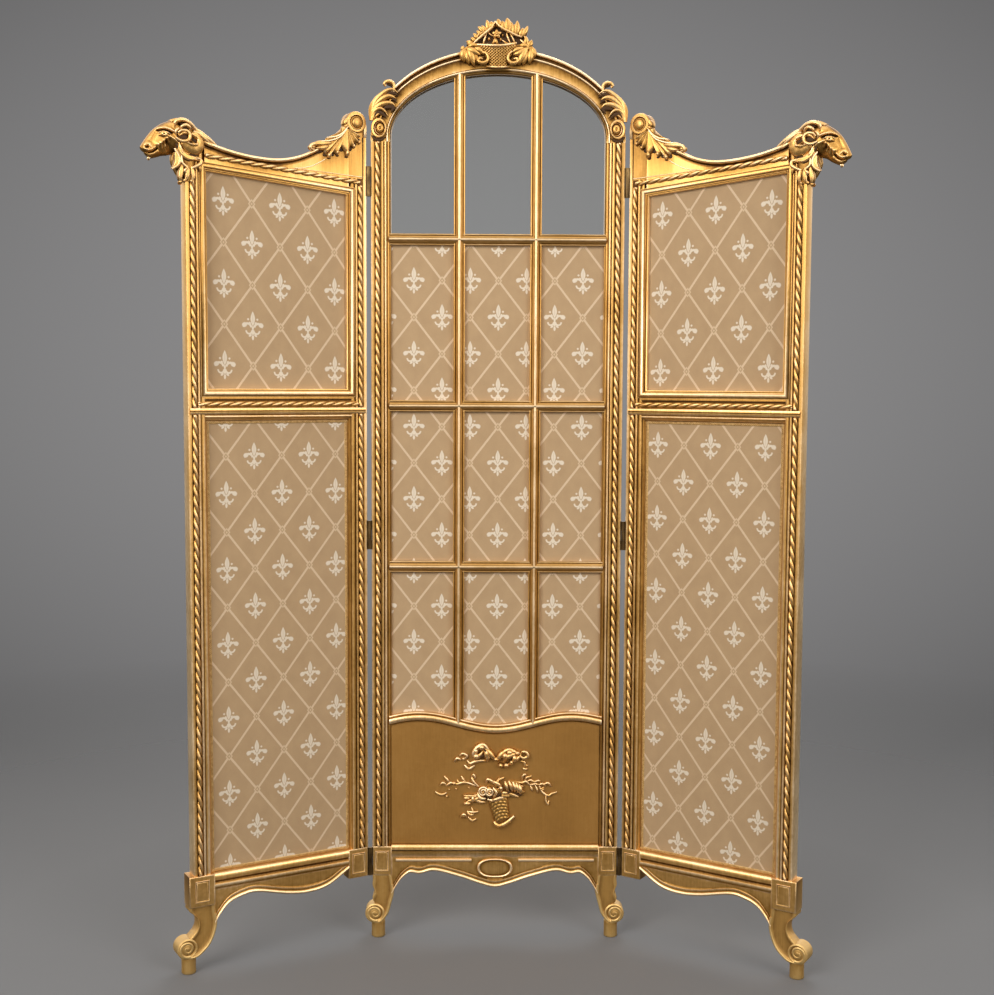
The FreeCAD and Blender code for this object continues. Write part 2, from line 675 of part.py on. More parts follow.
def flower_basket(arch):
    """The crest: a basket and rim on the arch's crown, a gable of leaves above, a scroll each side."""
    top = number(d.overall_height)
    crown = number(d.outer_springing + d.outer_rise)
    foot = crown - number(d.basket_height)
    rim_half, spread = number(d.basket_width) / 2, number(d.bouquet_width) / 2
    depth = number(d.leaf_thickness)
    rim_z = crown + 5
    basket = tapered_tub(0, foot, 0, 0.78 * rim_half, 9, 0, rim_z, 1.4)
    rim = blade((-0.7 * spread, rim_z + 3), (0.7 * spread, rim_z + 3), 9, -0.6 * depth, 0.3 * depth)
    apex = (-0.05 * spread, top - 10)
    gable_ends = (-0.7 * spread, rim_z), (0.7 * spread, rim_z)
    hood = board(lines([gable_ends[0], apex, gable_ends[1], gable_ends[0]]), 2, 11)
    pieces = [rim, hood, oval_boss(apex[0], rim_z + 22, 11, 11, 10, 2)]
    leaves = 9
    for i in range(leaves):
        angle = math.radians(12 + 156 * i / (leaves - 1))
        reach = spread * math.cos(angle)
        lift = (top - rim_z + 8) * math.sin(angle)
        tip = (reach, rim_z - 8 + lift)
        root = (0.62 * reach + 0.38 * apex[0], rim_z - 8 + 0.6 * lift)
        pieces.append(blade(root, tip, 17, -0.32 * depth, 8))
    # leaves beside the basket: root and tip as a share of the spread and a height above its foot
    side_leaves = [
        ((0.44, 20), (0.97, 30), 22, -13, 4),
        ((0.62, 28), (0.7, -2), 17, -14, 2),
        ((0.72, 30), (0.96, 8), 14, -12, 2),
        ((0.8, 24), (0.86, rim_z + 14 - foot), 14, -10, 4),
    ]
    for side in (-1, 1):
        end = (side * 0.7 * spread, rim_z + 2)
        pieces.append(blade(end, (apex[0] - side * 3, apex[1] + 1), 11, -0.42 * depth, 8))
        eye = (side * 0.42 * spread, foot + 13)
        outer, inner = (Part.makeCylinder(r, 14, at(*eye, -12), Vector(0, 1, 0)) for r in (12, 6))
        pieces.append(outer.cut(inner))
        pieces.append(oval_boss(*eye, 5, 5, 10))
        for root, tip, width, front, back in side_leaves:
            ends = [(side * share * spread, foot + lift) for share, lift in (root, tip)]
            pieces.append(blade(*ends, width, front, back))
    return largest_solid(seated(basket.fuse(pieces), arch))


def trophy():
    """The applied dado ornament: a ribbon bow, and below it a flower basket with two leafy branches."""
    face = number(d.dado_recess)
    high, middle, low = (face - share * number(d.trophy_proud) for share in (1.0, 0.7, 0.4))
    knot, heart = (2, 377), (4, 306)
    parts = [
        ribbon_loop(knot, (-40, 394), 27, 6, middle, face),
        ribbon_loop(knot, (36, 390), 20, 5, middle, face),
        ribbon_loop((28, 382), (66, 385), 19, 5, middle, face),
        oval_boss(*knot, 8, 7, face - high, face),
        oval_boss(11, 361, 6, 7, face - middle, face),
        oval_boss(24, 361, 6, 7, face - middle, face),
    ]
    left_tail = [(-6, 374), (-34, 371), (-52, 357), (-66, 375), (-84, 369)]
    right_tail = [(60, 380), (57, 366), (65, 352)]
    for tail in (left_tail, right_tail):
        parts += [blade(a, b, 7, low, face) for a, b in zip(tail, tail[1:])]
    parts.append(tapered_tub(18, 243, face, 18, 8, 6, 296, 1.25))
    parts.append(blade((-5, 238), (39, 252), 9, low, face))
    for x, z, size in ((-26, 309, 12), (-9, 308, 13), (9, 331, 9), (14, 311, 12), (35, 314, 11)):
        parts.append(oval_boss(x, z, size, size, face - high, face))
    for tip in ((58, 322), (61, 306), (50, 292), (-64, 294), (-63, 279), (-48, 270), (-4, 340)):
        parts.append(blade(heart, tip, 13, middle, face))
    for side, end in ((-1, (-113, 321)), (1, (122, 308))):
        parts.append(blade(heart, end, 7, low, face))
        for share in (0.45, 0.62, 0.79, 0.94):
            x = heart[0] + share * (end[0] - heart[0])
            z = heart[1] + share * (end[1] - heart[1])
            for lift in (15, -13):
                parts.append(blade((x, z), (x + side * 9, z + lift), 7, low, face))
    for tip in ((-66, 253), (-38, 247)):
        parts.append(blade((-48, 272), tip, 8, low, face))
    carving = parts[0].fuse(parts[1:])
    behind = Part.makeBox(300, 60, 300, at(-150, 180, face))
    return carving.cut(behind).removeSplitter()


# Side leaves, drawn for the right leaf or for either with a sign for the side


def top_line(x, lift=0):
    """Height of the sloping top rail's lower edge at x, or of a line lifted above it."""
    return d.panel_top + (x - INNER_SIGHT) * d.top_slope + lift


def crest_line(x, lift=0.0):
    """Height of the swept crest at x: one parabola each side of its lowest point."""
    x, low = number(x), number(d.crest_low_reach)
    if x < low:
        rise, span = number(d.crest_inner_rise), low - number(INNER_SIGHT)
    else:
        rise, span = number(d.crest_outer_rise), number(OUTER_SIGHT) - low
    return number(d.crest_low) + rise * ((x - low) / span) ** 2 + lift


def crest_edge(lift=0.0):
    steps = 8
    start, end = number(INNER_SIGHT), number(OUTER_SIGHT)
    stations = [start + (end - start) * i / steps for i in range(steps + 1)]
    return spline([(x, crest_line(x, lift)) for x in stations])


def crest_rail():
    """The board that sweeps up between the stiles to its inner end, with a raised top edge."""
    low = -number(d.crest_lip_height)
    ends = (INNER_SIGHT, OUTER_SIGHT)
    sides = [lines([(x, top_line(x)), (x, crest_line(x))])[0] for x in ends]
    foot = lines([(x, top_line(x)) for x in ends])
    panel = board([crest_edge()] + sides + foot, 0, d.leaf_thickness)
    lip_ends = [lines([(x, crest_line(x, low)), (x, crest_line(x))])[0] for x in ends]
    lip = board([crest_edge(), crest_edge(low)] + lip_ends, -1 * d.crest_lip_proud, 0)
    return panel.fuse(lip).removeSplitter()


def side_stile(name, side, edge, inward, top):
    """A plain side stile from its block to the crest."""
    sight = edge + inward * d.side_stile_width
    outline = rectangle(side * edge, d.stile_foot, side * sight, top)
    return plate(name, outline, FRONT, d.leaf_thickness)


def mid_rail(name, side):
    """The rail between the two panels, with a flat band that crosses the whole leaf."""
    outline = rectangle(side * INNER_SIGHT, d.mid_rail_bottom, side * OUTER_SIGHT, MID_RAIL_TOP)
    body = plate(name, outline, FRONT, d.leaf_thickness)
    band = rectangle(
        side * (HALF_GAP + d.band_inset), d.band_bottom,
        side * (OUTER_EDGE - d.band_inset), d.band_bottom + d.band_height,
    )
    pad = body.newObject("PartDesign::Pad", name + "_band_pad")
    pad.Profile = bound_sketch(body, name + "_band", "XZ_Plane", [band], FRONT)
    pad.setExpression("Length", text(d.band_proud))
    return body


def mitred_frame(name, side, inner_corners, outer_corners, front, back):
    """Four mitred lengths between an inner and an outer four-sided outline."""
    lengths = []
    for i in range(4):
        following = (i + 1) % 4
        corners = [inner_corners[i], inner_corners[following], outer_corners[following], outer_corners[i]]
        corners = [(side * x, z) for x, z in corners]
        lengths.append(plate(f"{name}_{i + 1}", corners, front, back))
    return group(name, lengths)


def panel_frame(name, side):
    """The moulding round the upper fabric, its top length sloping with the top rail."""
    w = d.frame_width
    inner = [
        (INNER_SIGHT, MID_RAIL_TOP), (OUTER_SIGHT, MID_RAIL_TOP),
        (OUTER_SIGHT, top_line(OUTER_SIGHT)), (INNER_SIGHT, top_line(INNER_SIGHT)),
    ]
    outer = [
        (INNER_SIGHT - w, MID_RAIL_TOP - w), (OUTER_SIGHT + w, MID_RAIL_TOP - w),
        (OUTER_SIGHT + w, top_line(OUTER_SIGHT + w, w)), (INNER_SIGHT - w, top_line(INNER_SIGHT - w, w)),
    ]
    return mitred_frame(name, side, inner, outer, -1 * d.frame_proud, FRONT)


def lower_gimp(name, side):
    """The braid that covers the lower fabric's edge."""
    gap, w = d.fit_clearance, d.gimp_width
    x0, x1 = INNER_SIGHT + gap, OUTER_SIGHT - gap
    z0, z1 = d.stile_foot + gap, d.mid_rail_bottom - gap
    back = d.fabric_recess - gap
    return mitred_frame(
        name, side,
        [(x0 + w, z0 + w), (x1 - w, z0 + w), (x1 - w, z1 - w), (x0 + w, z1 - w)],
        [(x0, z0), (x1, z0), (x1, z1), (x0, z1)],
        back - d.gimp_thickness, back,
    )


def upper_sheet(name, side, front, thickness):
    """A sheet that fills the upper opening under the sloping rail."""
    gap = d.fit_clearance
    x0, x1, foot = INNER_SIGHT + gap, OUTER_SIGHT - gap, MID_RAIL_TOP + gap
    corners = [(x0, foot), (x1, foot), (x1, top_line(x1) - gap), (x0, top_line(x0) - gap)]
    return plate(name, [(side * x, z) for x, z in corners], front, front + thickness)


def lower_sheet(name, side, front, thickness):
    """A sheet that fills the lower opening."""
    gap = d.fit_clearance
    corners = rectangle(INNER_SIGHT + gap, d.stile_foot + gap, OUTER_SIGHT - gap, d.mid_rail_bottom - gap)
    return plate(name, [(side * x, z) for x, z in corners], front, front + thickness)


def bead(name, start, end):
    """A half-round bead on the front face between two points in x and z."""
    (x0, z0), (x1, z1) = start, end
    run, climb = x1 - x0, z1 - z0
    round_bar = doc.addObject("Part::Cylinder", name)
    round_bar.setExpression("Radius", text(d.rope_width / 2))
    round_bar.setExpression("Height", f"sqrt({text(run)} ^ 2 + {text(climb)} ^ 2)")
    round_bar.Angle = 180
    turn = FreeCAD.Rotation(Vector(0, 1, 0), math.degrees(math.atan2(number(run), number(climb))))
    front_half = FreeCAD.Rotation(Vector(0, 0, 1), 180)
    round_bar.Placement = FreeCAD.Placement(at(x0, z0), turn * front_half)
    return round_bar


def side_ropes(name, side):
    """Beads up both stiles, broken by the band, and cross beads under the crest and above the band."""
    inner = HALF_GAP + d.rope_inset
    outer = OUTER_EDGE - d.rope_inset
    half, gap = d.rope_width / 2, d.fit_clearance
    band_top = d.band_bottom + d.band_height
    beads = []
    inner_end = top_line(inner, d.top_rope_rise) - half - gap
    outer_end = d.outer_stile_top - d.outer_rope_drop
    for place, reach, end in (("inner", inner, inner_end), ("outer", outer, outer_end)):
        x = side * reach
        beads.append(bead(f"{name}_{place}_low", (x, d.stile_foot + gap), (x, d.band_bottom - gap)))
        beads.append(bead(f"{name}_{place}_high", (x, band_top + gap), (x, end)))
    start, stop = side * (inner + half + gap), side * (outer - half - gap)
    height = d.mid_rope_height
    beads.append(bead(f"{name}_cross", (start, height), (stop, height)))
    beads.append(bead(
        f"{name}_top",
        (side * inner, top_line(inner, d.top_rope_rise)),
        (side * (OUTER_SIGHT - gap), top_line(OUTER_SIGHT - gap, d.top_rope_rise)),
    ))
    return group(name, beads)


def side_apron():
    """The side apron: a wave from the inner block that sweeps down to the outer leg."""
    x0, x1 = number(INNER_BLOCK_EDGE), number(OUTER_BLOCK_INNER)
    span = x1 - x0
    foot = number(BLOCK_FOOT)
    points = [
        (x0, foot + 22), (x0 + 0.16 * span, foot - 5), (x0 + 0.31 * span, foot - 12),
        (x0 + 0.47 * span, foot - 7), (x0 + 0.69 * span, foot + 8), (x0 + 0.8 * span, foot + 6),
        (x0 + 0.895 * span, foot - 4), (x0 + 0.965 * span, foot - 24), (x1, foot - 40),
    ]
    upper = [(x1, foot - 40), (x1, SIDE_RAIL_FOOT), (x0, SIDE_RAIL_FOOT), (x0, foot + 22)]
    return edged_apron(points, upper)


def crest_acanthus(inner_stile, rail_shape):
    """A rolled volute over the inner stile, and the leaf that runs from it down the sweep."""
    radius = number(d.volute_radius)
    x, z = number(d.volute_reach), number(d.volute_height)
    front = -number(d.volute_proud)
    roll = Part.makeCylinder(radius, number(d.leaf_thickness) - front, at(x, z, front), Vector(0, 1, 0))
    stations = [x + radius * 0.6 + 16 * i for i in range(6)]
    back_edge = spline([(u, crest_line(u, 7 - i)) for i, u in enumerate(stations)])
    lobes = []
    for i, u in enumerate(stations[:-1]):
        depth = -26 + 2.5 * i
        lobes += [(u + 3, crest_line(u + 3, depth)), (u + 12, crest_line(u + 12, depth + 10))]
    tip = (stations[-1], crest_line(stations[-1], 2))
    front_edge = lines([(stations[0], crest_line(stations[0], 7))] + lobes + [tip])
    leaf = board([back_edge] + front_edge, -number(d.leaf_relief) - number(d.crest_lip_proud), 6)
    return largest_solid(seated(roll.fuse(leaf), inner_stile, rail_shape))


def head_section(chin, brow, half_breadth):
    """A sixteen-sided oval across the head, from an underside point to one on the upper profile."""
    points = []
    for i in range(16):
        angle = math.radians(22.5 * i)
        low, high = (1 - math.cos(angle)) / 2, (1 + math.cos(angle)) / 2
        x, z = chin[0] * low + brow[0] * high, chin[1] * low + brow[1] * high
        points.append(at(x, z, number(d.leaf_thickness) / 2 + half_breadth * math.sin(angle)))
    return closed_outline(points)


def horn(face_y, outward):
    """A tapering curl beside the brow: round rings along a flat spiral that drifts outwards."""
    turns, count = 0.86, 9
    radius, root = number(d.horn_radius), number(d.horn_thickness) / 2
    x0, z0 = number(OUTER_EDGE) - 12, number(d.crown_height) - 34
    rings = []
    for i in range(count):
        share = i / (count - 1)
        angle = math.radians(50) + 2 * math.pi * turns * share
        reach = (radius - root) * (1 - 0.4 * share)
        thickness = root * (1 - 0.62 * share)
        outwards = at(math.cos(angle), math.sin(angle))
        middle = at(x0, z0, face_y + outward * 10 * share) + outwards * reach
        ring = []
        for j in range(8):
            round_angle = math.radians(45 * j)
            ring.append(middle + outwards * (thickness * math.cos(round_angle))
                        + Vector(0, thickness * math.sin(round_angle), 0))
        rings.append(closed_outline(ring))
    return Part.makeLoft(rings, True, True)


def ram_head(stile, rail_shape):
    """A ram's head in the round that looks outwards: brow, muzzle, curled horns and a leaf collar."""
    breadth = number(d.head_breadth) / 2
    nose_x, nose_z = number(d.nose_reach), number(d.nose_height)
    crown = number(d.crown_height)
    reach = nose_x - number(OUTER_EDGE)
    # from back to front: an underside point and an upper point, each behind the nose by a share of the
    # nose's reach past the leaf's edge, and the breadth
    stations = [
        ((1.305, crown - 56), (1.28, crown - 12), 0.72),
        ((0.954, crown - 63), (0.979, crown - 1), 1.0),
        ((0.652, crown - 68), (0.652, crown - 6), 0.9),
        ((0.527, nose_z - 5), (0.389, crown - 20), 0.68),
        ((0.414, nose_z - 10), (0.201, crown - 38), 0.54),
        ((0.251, nose_z - 12), (0.063, nose_z + 13), 0.46),
        ((0.151, nose_z - 8), (0.019, nose_z + 4), 0.3),
    ]
    sections = [
        head_section((nose_x - chin * reach, chin_z), (nose_x - brow * reach, brow_z), breadth * share)
        for (chin, chin_z), (brow, brow_z), share in stations
    ]
    head = Part.makeLoft(sections, True, True)
    middle = number(d.leaf_thickness) / 2
    horns = [horn(middle + outward * breadth * 0.72, outward) for outward in (-1, 1)]
    edge, foot = number(OUTER_EDGE), number(d.outer_stile_top - d.collar_drop)
    collar_outline = [
        (edge - 34, foot + 52), (edge - 20, foot + 40), (edge - 8, foot + 22),
        (edge + 14, foot), (edge + 12, foot + 22), (edge + 20, foot + 44),
        (edge + 10, foot + 66), (edge - 20, foot + 74),
    ]
    collar = board(lines(collar_outline + collar_outline[:1]), -6, number(d.leaf_thickness) + 6)
    mane_outline = [
        (edge + 4, crown - 1), (edge - 15, crown - 8), (edge - 40, crown - 23),
        (edge - 54, crown - 32), (edge - 46, crown - 44), (edge - 20, crown - 56),
        (edge + 8, crown - 60),
    ]
    mane = board(lines(mane_outline + mane_outline[:1]), -2, number(d.leaf_thickness) + 2)
    whole = head.fuse([collar, mane] + horns)
    return largest_solid(seated(whole, stile, rail_shape))


# Hinges


def hinge_leaf(name, axis_x, outward, height, knuckles, bore):
    """One leaf of a butt hinge: a plate in its bed, and the knuckles it carries on the barrel."""
    low = height - d.hinge_height / 2
    pitch = (d.hinge_height - 2 * d.knuckle_gap) / 3 + d.knuckle_gap
    length = pitch - d.knuckle_gap
    near = HALF_GAP if outward > 0 else HALF_GAP + d.plate_thickness
    plate_x = axis_x + outward * near
    members = [
        hinge_box(name + "_plate", plate_x, low, d.plate_thickness, d.plate_depth, d.hinge_height)
    ]
    web_start = d.pin_radius + d.pin_clearance + 0.5
    web_length = HALF_GAP + d.plate_thickness - web_start
    web_near = web_start if outward > 0 else web_start + web_length
    for i in knuckles:
        foot = low + i * pitch
        web_x, web_depth = axis_x + outward * web_near, d.plate_thickness + 0.5
        members.append(hinge_box(f"{name}_web_{i}", web_x, foot, web_length, web_depth, length))
        members.append(hinge_round(f"{name}_knuckle_{i}", axis_x, d.knuckle_radius, foot, length))
    joined = doc.addObject("Part::MultiFuse", name + "_joined")
    joined.Shapes = members
    bored = doc.addObject("Part::Cut", name)
    bored.Base = joined
    bored.Tool = hinge_round(name + "_bore", axis_x, bore, low - 1, d.hinge_height + 2)
    return bored


def hinge_box(name, x, z, length, width, height):
    """A flat piece of a hinge, behind the leaf's front face."""
    box = doc.addObject("Part::Box", name)
    for prop, size in (("Length", length), ("Width", width), ("Height", height)):
        box.setExpression(prop, text(size))
    for prop, size in (("x", x), ("z", z)):
        box.setExpression(f"Placement.Base.{prop}", text(size))
    return box


def hinge_round(name, x, radius, foot, length):
    """An upright round on a hinge axis: a knuckle, a pin or a bore."""
    cylinder = doc.addObject("Part::Cylinder", name)
    cylinder.setExpression("Radius", text(radius))
    cylinder.setExpression("Height", text(length))
    cylinder.setExpression("Placement.Base.x", text(x))
    cylinder.setExpression("Placement.Base.z", text(foot))
    return cylinder


HINGES = (
    ("low", d.low_hinge_height),
    ("middle", d.middle_hinge_height),
    ("top", d.top_hinge_height),
)


def centre_hinges():
    """The fixed leaves, with the two outer knuckles of each hinge, and the pins fast in them."""
    leaves, pins = [], []
    for side_name, side in SIDES:
        axis_x = side * HINGE_X
        for place, height in HINGES:
            name = f"{side_name}_{place}"
            leaves.append(hinge_leaf(f"{name}_fixed", axis_x, -side, height, (0, 2), d.pin_radius))
            low = height - d.hinge_height / 2
            pins.append(hinge_round(f"{name}_pin", axis_x, d.pin_radius, low, d.hinge_height))
    keep(group("centre_hinge_leaves", leaves), "centre_hinge_leaves", "centre")
    keep(group("hinge_pins", pins), "hinge_pins", "centre")


def build_centre():
    """The centre leaf, from its stiles inwards and then its feet and carving."""
    stiles = [
        keep(centre_stile(f"centre_{name}_stile", side), f"centre_{name}_stile", "centre")
        for name, side in SIDES
    ]
    doc.recompute()
    stile_shapes = [stile.Shape for stile in stiles]
    arch = arch_rail()
    keep(feature("arch_rail", arch), "arch_rail", "centre")
    serpentine = serpentine_rail(stile_shapes)
    keep(feature("serpentine_rail", serpentine), "serpentine_rail", "centre")
    uprights = [muntin(f"{name}_muntin", side, arch, serpentine) for name, side in SIDES]
    upright_shapes = [upright_bar.Shape for upright_bar in uprights]
    keep(group("muntins", uprights), "muntins", "centre")
    keep(glazing_bars(stile_shapes, upright_shapes), "glazing_bars", "centre")
    keep(feature("glass_panes", glass_panes()), "glass_panes", "centre")
    sheet_front = d.bar_depth + d.fit_clearance
    fabric = centre_sheet(sheet_front, d.fabric_thickness)
    keep(feature("centre_fabric", fabric), "centre_fabric", "centre")
    backing = centre_sheet(sheet_front + d.fabric_thickness + d.fit_clearance, d.backing_thickness)
    keep(feature("centre_backing", backing), "centre_backing", "centre")
    keep(feature("dado_panel", dado_panel()), "dado_panel", "centre")
    keep(feature("dado_trophy", trophy()), "dado_trophy", "centre")
    foot, top = d.centre_rail_bottom, d.centre_rail_bottom + d.centre_rail_height
    bottom_rail = moulded_rail("centre_bottom_rail", foot, top, -SIGHT, SIGHT)
    keep(bottom_rail, "centre_bottom_rail", "centre")
    keep(feature("centre_apron", centre_apron()), "centre_apron", "centre")
    blocks, pegs, ropes, leaves = [], [], [], []
    roll_x = HALF_WIDTH - d.centre_scroll_inset
    right_leg = scroll_leg(SIGHT, HALF_WIDTH, roll_x, HALF_WIDTH - 4, number(BLOCK_FOOT) - 40)
    right_peg = foot_peg(roll_x, -1, right_leg)
    for (name, side), stile in zip(SIDES, stile_shapes):
        block = square_block(
            f"centre_{name}_block", side * SIGHT, side * HALF_WIDTH, BLOCK_FOOT,
            FRONT, d.leaf_thickness, side * (SIGHT + HALF_WIDTH) / 2,
        )
        cut_mortises(block, side * HALF_WIDTH, -side, [d.low_hinge_height])
        blocks.append(block)
        keep(feature(f"centre_{name}_leg", for_side(right_leg, side)), f"centre_{name}_leg", "centre")
        pegs.append(feature(f"centre_{name}_peg", for_side(right_peg, side)))
        x = side * (HALF_WIDTH - d.rope_inset)
        low_end, high_end = (x, d.stile_foot + d.fit_clearance), (x, d.outer_springing)
        ropes.append(bead(f"centre_{name}_rope", low_end, high_end))
        leaves.append(feature(f"{name}_arch_leaf", arch_acanthus(side, arch, stile)))
    keep(group("centre_blocks", blocks), "centre_blocks", "centre")
    keep(group("centre_foot_pegs", pegs), "centre_foot_pegs", "centre")
    keep(group("centre_rope_beads", ropes), "centre_rope_beads", "centre")
    keep(group("arch_acanthus", leaves), "arch_acanthus", "centre")
    keep(feature("crest_basket", flower_basket(arch)), "crest_basket", "centre")
    centre_hinges()


def build_side(leaf, side):
    """One side leaf: its frame, panels, foot, crest and the turning halves of its hinges."""
    inner = side_stile(f"{leaf}_inner_stile", side, HALF_GAP, 1, d.inner_stile_top)
    keep(inner, f"{leaf}_inner_stile", leaf)
    cut_mortises(inner, side * HALF_GAP, side, [d.middle_hinge_height, d.top_hinge_height])
    outer = side_stile(f"{leaf}_outer_stile", side, OUTER_EDGE, -1, d.outer_stile_top)
    keep(outer, f"{leaf}_outer_stile", leaf)
    keep(mid_rail(f"{leaf}_mid_rail", side), f"{leaf}_mid_rail", leaf)
    start, end = (INNER_BLOCK_EDGE, OUTER_BLOCK_INNER)
    if side < 0:
        start, end = -end, -start
    bottom_rail = moulded_rail(f"{leaf}_bottom_rail", SIDE_RAIL_FOOT, d.stile_foot, start, end)
    keep(bottom_rail, f"{leaf}_bottom_rail", leaf)
    keep(panel_frame(f"{leaf}_panel_frame", side), f"{leaf}_panel_frame", leaf)
    keep(lower_gimp(f"{leaf}_gimp", side), f"{leaf}_gimp", leaf)
    upper_fabric = upper_sheet(f"{leaf}_upper_fabric", side, d.fabric_recess, d.fabric_thickness)
    keep(upper_fabric, f"{leaf}_upper_fabric", leaf)
    lower_fabric = lower_sheet(f"{leaf}_lower_fabric", side, d.fabric_recess, d.fabric_thickness)
    keep(lower_fabric, f"{leaf}_lower_fabric", leaf)
    backing_front = FABRIC_BACK + d.fit_clearance
    backings = [
        upper_sheet(f"{leaf}_upper_backing", side, backing_front, d.backing_thickness),
        lower_sheet(f"{leaf}_lower_backing", side, backing_front, d.backing_thickness),
    ]
    keep(group(f"{leaf}_backings", backings), f"{leaf}_backings", leaf)
    keep(side_ropes(f"{leaf}_rope_beads", side), f"{leaf}_rope_beads", leaf)
    inner_block = square_block(
        f"{leaf}_inner_block", side * HALF_GAP, side * INNER_BLOCK_EDGE, BLOCK_FOOT,
        FRONT, d.leaf_thickness, side * (HALF_GAP + INNER_BLOCK_EDGE) / 2,
    )
    cut_mortises(inner_block, side * HALF_GAP, side, [d.low_hinge_height])
    proud = d.outer_block_proud
    outer_block = square_block(
        f"{leaf}_outer_block", side * OUTER_BLOCK_INNER, side * OUTER_BLOCK_OUTER, BLOCK_FOOT,
        -1 * proud, d.leaf_thickness + proud, side * OUTER_BLOCK_MIDDLE,
    )
    keep(group(f"{leaf}_blocks", [inner_block, outer_block]), f"{leaf}_blocks", leaf)
    keep(feature(f"{leaf}_apron", for_side(side_apron(), side)), f"{leaf}_apron", leaf)
    roll_x = OUTER_EDGE + d.outer_scroll_reach
    drop = number(BLOCK_FOOT) - 40
    leg = scroll_leg(OUTER_BLOCK_INNER, OUTER_BLOCK_OUTER, roll_x, OUTER_EDGE - 8, drop)
    keep(feature(f"{leaf}_leg", for_side(leg, side)), f"{leaf}_leg", leaf)
    peg = foot_peg(roll_x, -1, leg)
    keep(feature(f"{leaf}_foot_peg", for_side(peg, side)), f"{leaf}_foot_peg", leaf)
    crest = crest_rail()
    keep(feature(f"{leaf}_crest_rail", for_side(crest, side)), f"{leaf}_crest_rail", leaf)
    doc.recompute()
    inner_shape, outer_shape = (for_side(stile.Shape, side) for stile in (inner, outer))
    acanthus = crest_acanthus(inner_shape, crest)
    keep(feature(f"{leaf}_crest_acanthus", for_side(acanthus, side)), f"{leaf}_crest_acanthus", leaf)
    head = ram_head(outer_shape, crest)
    keep(feature(f"{leaf}_ram_head", for_side(head, side)), f"{leaf}_ram_head", leaf)
    bore = d.pin_radius + d.pin_clearance
    leaves = [
        hinge_leaf(f"{leaf}_{place}_turning", ZERO, side, height, (1,), bore)
        for place, height in HINGES
    ]
    keep(group(f"{leaf}_hinge_leaves", leaves), f"{leaf}_hinge_leaves", leaf)


def place_leaves():
    """Folds the side leaves about their hinges, and centres the whole on the origin in depth."""
    widest_fold = math.radians(max(number(d.left_fold), number(d.right_fold)))
    reach = math.sin(widest_fold) * number(d.nose_reach)
    shift = Vector(0, (reach - number(d.leaf_thickness)) / 2, 0)
    up = Vector(0, 0, 1)
    hinge_x = number(HINGE_X)
    left_turn = FreeCAD.Rotation(up, number(d.left_fold))
    right_turn = FreeCAD.Rotation(up, -number(d.right_fold))
    places = {
        "centre": FreeCAD.Placement(shift, FreeCAD.Rotation()),
        "left": FreeCAD.Placement(shift + Vector(-hinge_x, 0, 0), left_turn),
        "right": FreeCAD.Placement(shift + Vector(hinge_x, 0, 0), right_turn),
    }
    for obj, leaf in nodes:
        obj.Placement = places[leaf].multiply(obj.Placement)
    print(f"hinge axes at x = {hinge_x:.3f} either side, y = {shift.y:.3f}")


build_centre()
for leaf_name, leaf_side in SIDES:
    build_side(leaf_name, leaf_side)
place_leaves()
doc.recompute()

for obj in doc.Objects:
    if "Invalid" in obj.State or "Error" in obj.State:
        raise RuntimeError(f"{obj.Label} failed: {obj.State}")
for obj, _ in nodes:
    if obj.Shape.isNull() or not obj.Shape.isValid():
        raise RuntimeError(f"{obj.Label} has no valid shape")

os.makedirs("parts", exist_ok=True)
for obj, _ in nodes:
    obj.Shape.exportStep(f"parts/{obj.Label}.step")
print(f"{len(nodes)} nodes, {sum(len(obj.Shape.Solids) for obj, _ in nodes)} solids")
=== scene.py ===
"""Looks of the folding screen: gilded mouldings, twisted beads, carving, woven cloth, glass and brass.

Pieces are drawn flat on their leaf in millimetres, as on the bench: x outwards from the leaf's own line
(the middle of the centre leaf, the hinge axis of a side leaf), y from the front face to the back and z up
from the floor. The leaf's place then carries them into the frame in metres.
"""
import json
import math

import bmesh
import bpy
import numpy as np
from mathutils import Matrix


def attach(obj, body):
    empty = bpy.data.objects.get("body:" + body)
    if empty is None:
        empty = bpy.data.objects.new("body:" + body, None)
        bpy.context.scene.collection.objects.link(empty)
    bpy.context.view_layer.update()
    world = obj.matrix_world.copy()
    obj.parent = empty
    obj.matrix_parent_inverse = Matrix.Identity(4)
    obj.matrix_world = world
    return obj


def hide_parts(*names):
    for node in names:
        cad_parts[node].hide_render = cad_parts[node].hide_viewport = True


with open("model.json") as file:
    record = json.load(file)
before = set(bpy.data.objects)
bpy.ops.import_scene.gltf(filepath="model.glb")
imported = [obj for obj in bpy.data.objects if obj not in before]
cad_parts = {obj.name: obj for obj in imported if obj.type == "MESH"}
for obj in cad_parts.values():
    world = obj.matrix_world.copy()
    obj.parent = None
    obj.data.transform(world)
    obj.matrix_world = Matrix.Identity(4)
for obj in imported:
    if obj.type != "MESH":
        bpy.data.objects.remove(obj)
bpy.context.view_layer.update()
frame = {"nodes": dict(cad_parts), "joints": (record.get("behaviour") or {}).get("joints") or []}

scene = bpy.context.scene
folds = {joint["name"]: joint for joint in frame["joints"]}
LEFT_FOLD = -math.radians(folds["left_fold"]["range_deg"][0])
RIGHT_FOLD = -math.radians(folds["right_fold"]["range_deg"][0])
HINGE_X, HINGE_Y = folds["right_fold"]["pos_m"][0], folds["right_fold"]["pos_m"][1]
# leaf: the way its x runs, its hinge line and its turn about it
PLACES = {"centre": (1, 0.0, 0.0), "left": (-1, -HINGE_X, LEFT_FOLD), "right": (1, HINGE_X, -RIGHT_FOLD)}
SIDE_LEAVES = ("left", "right")

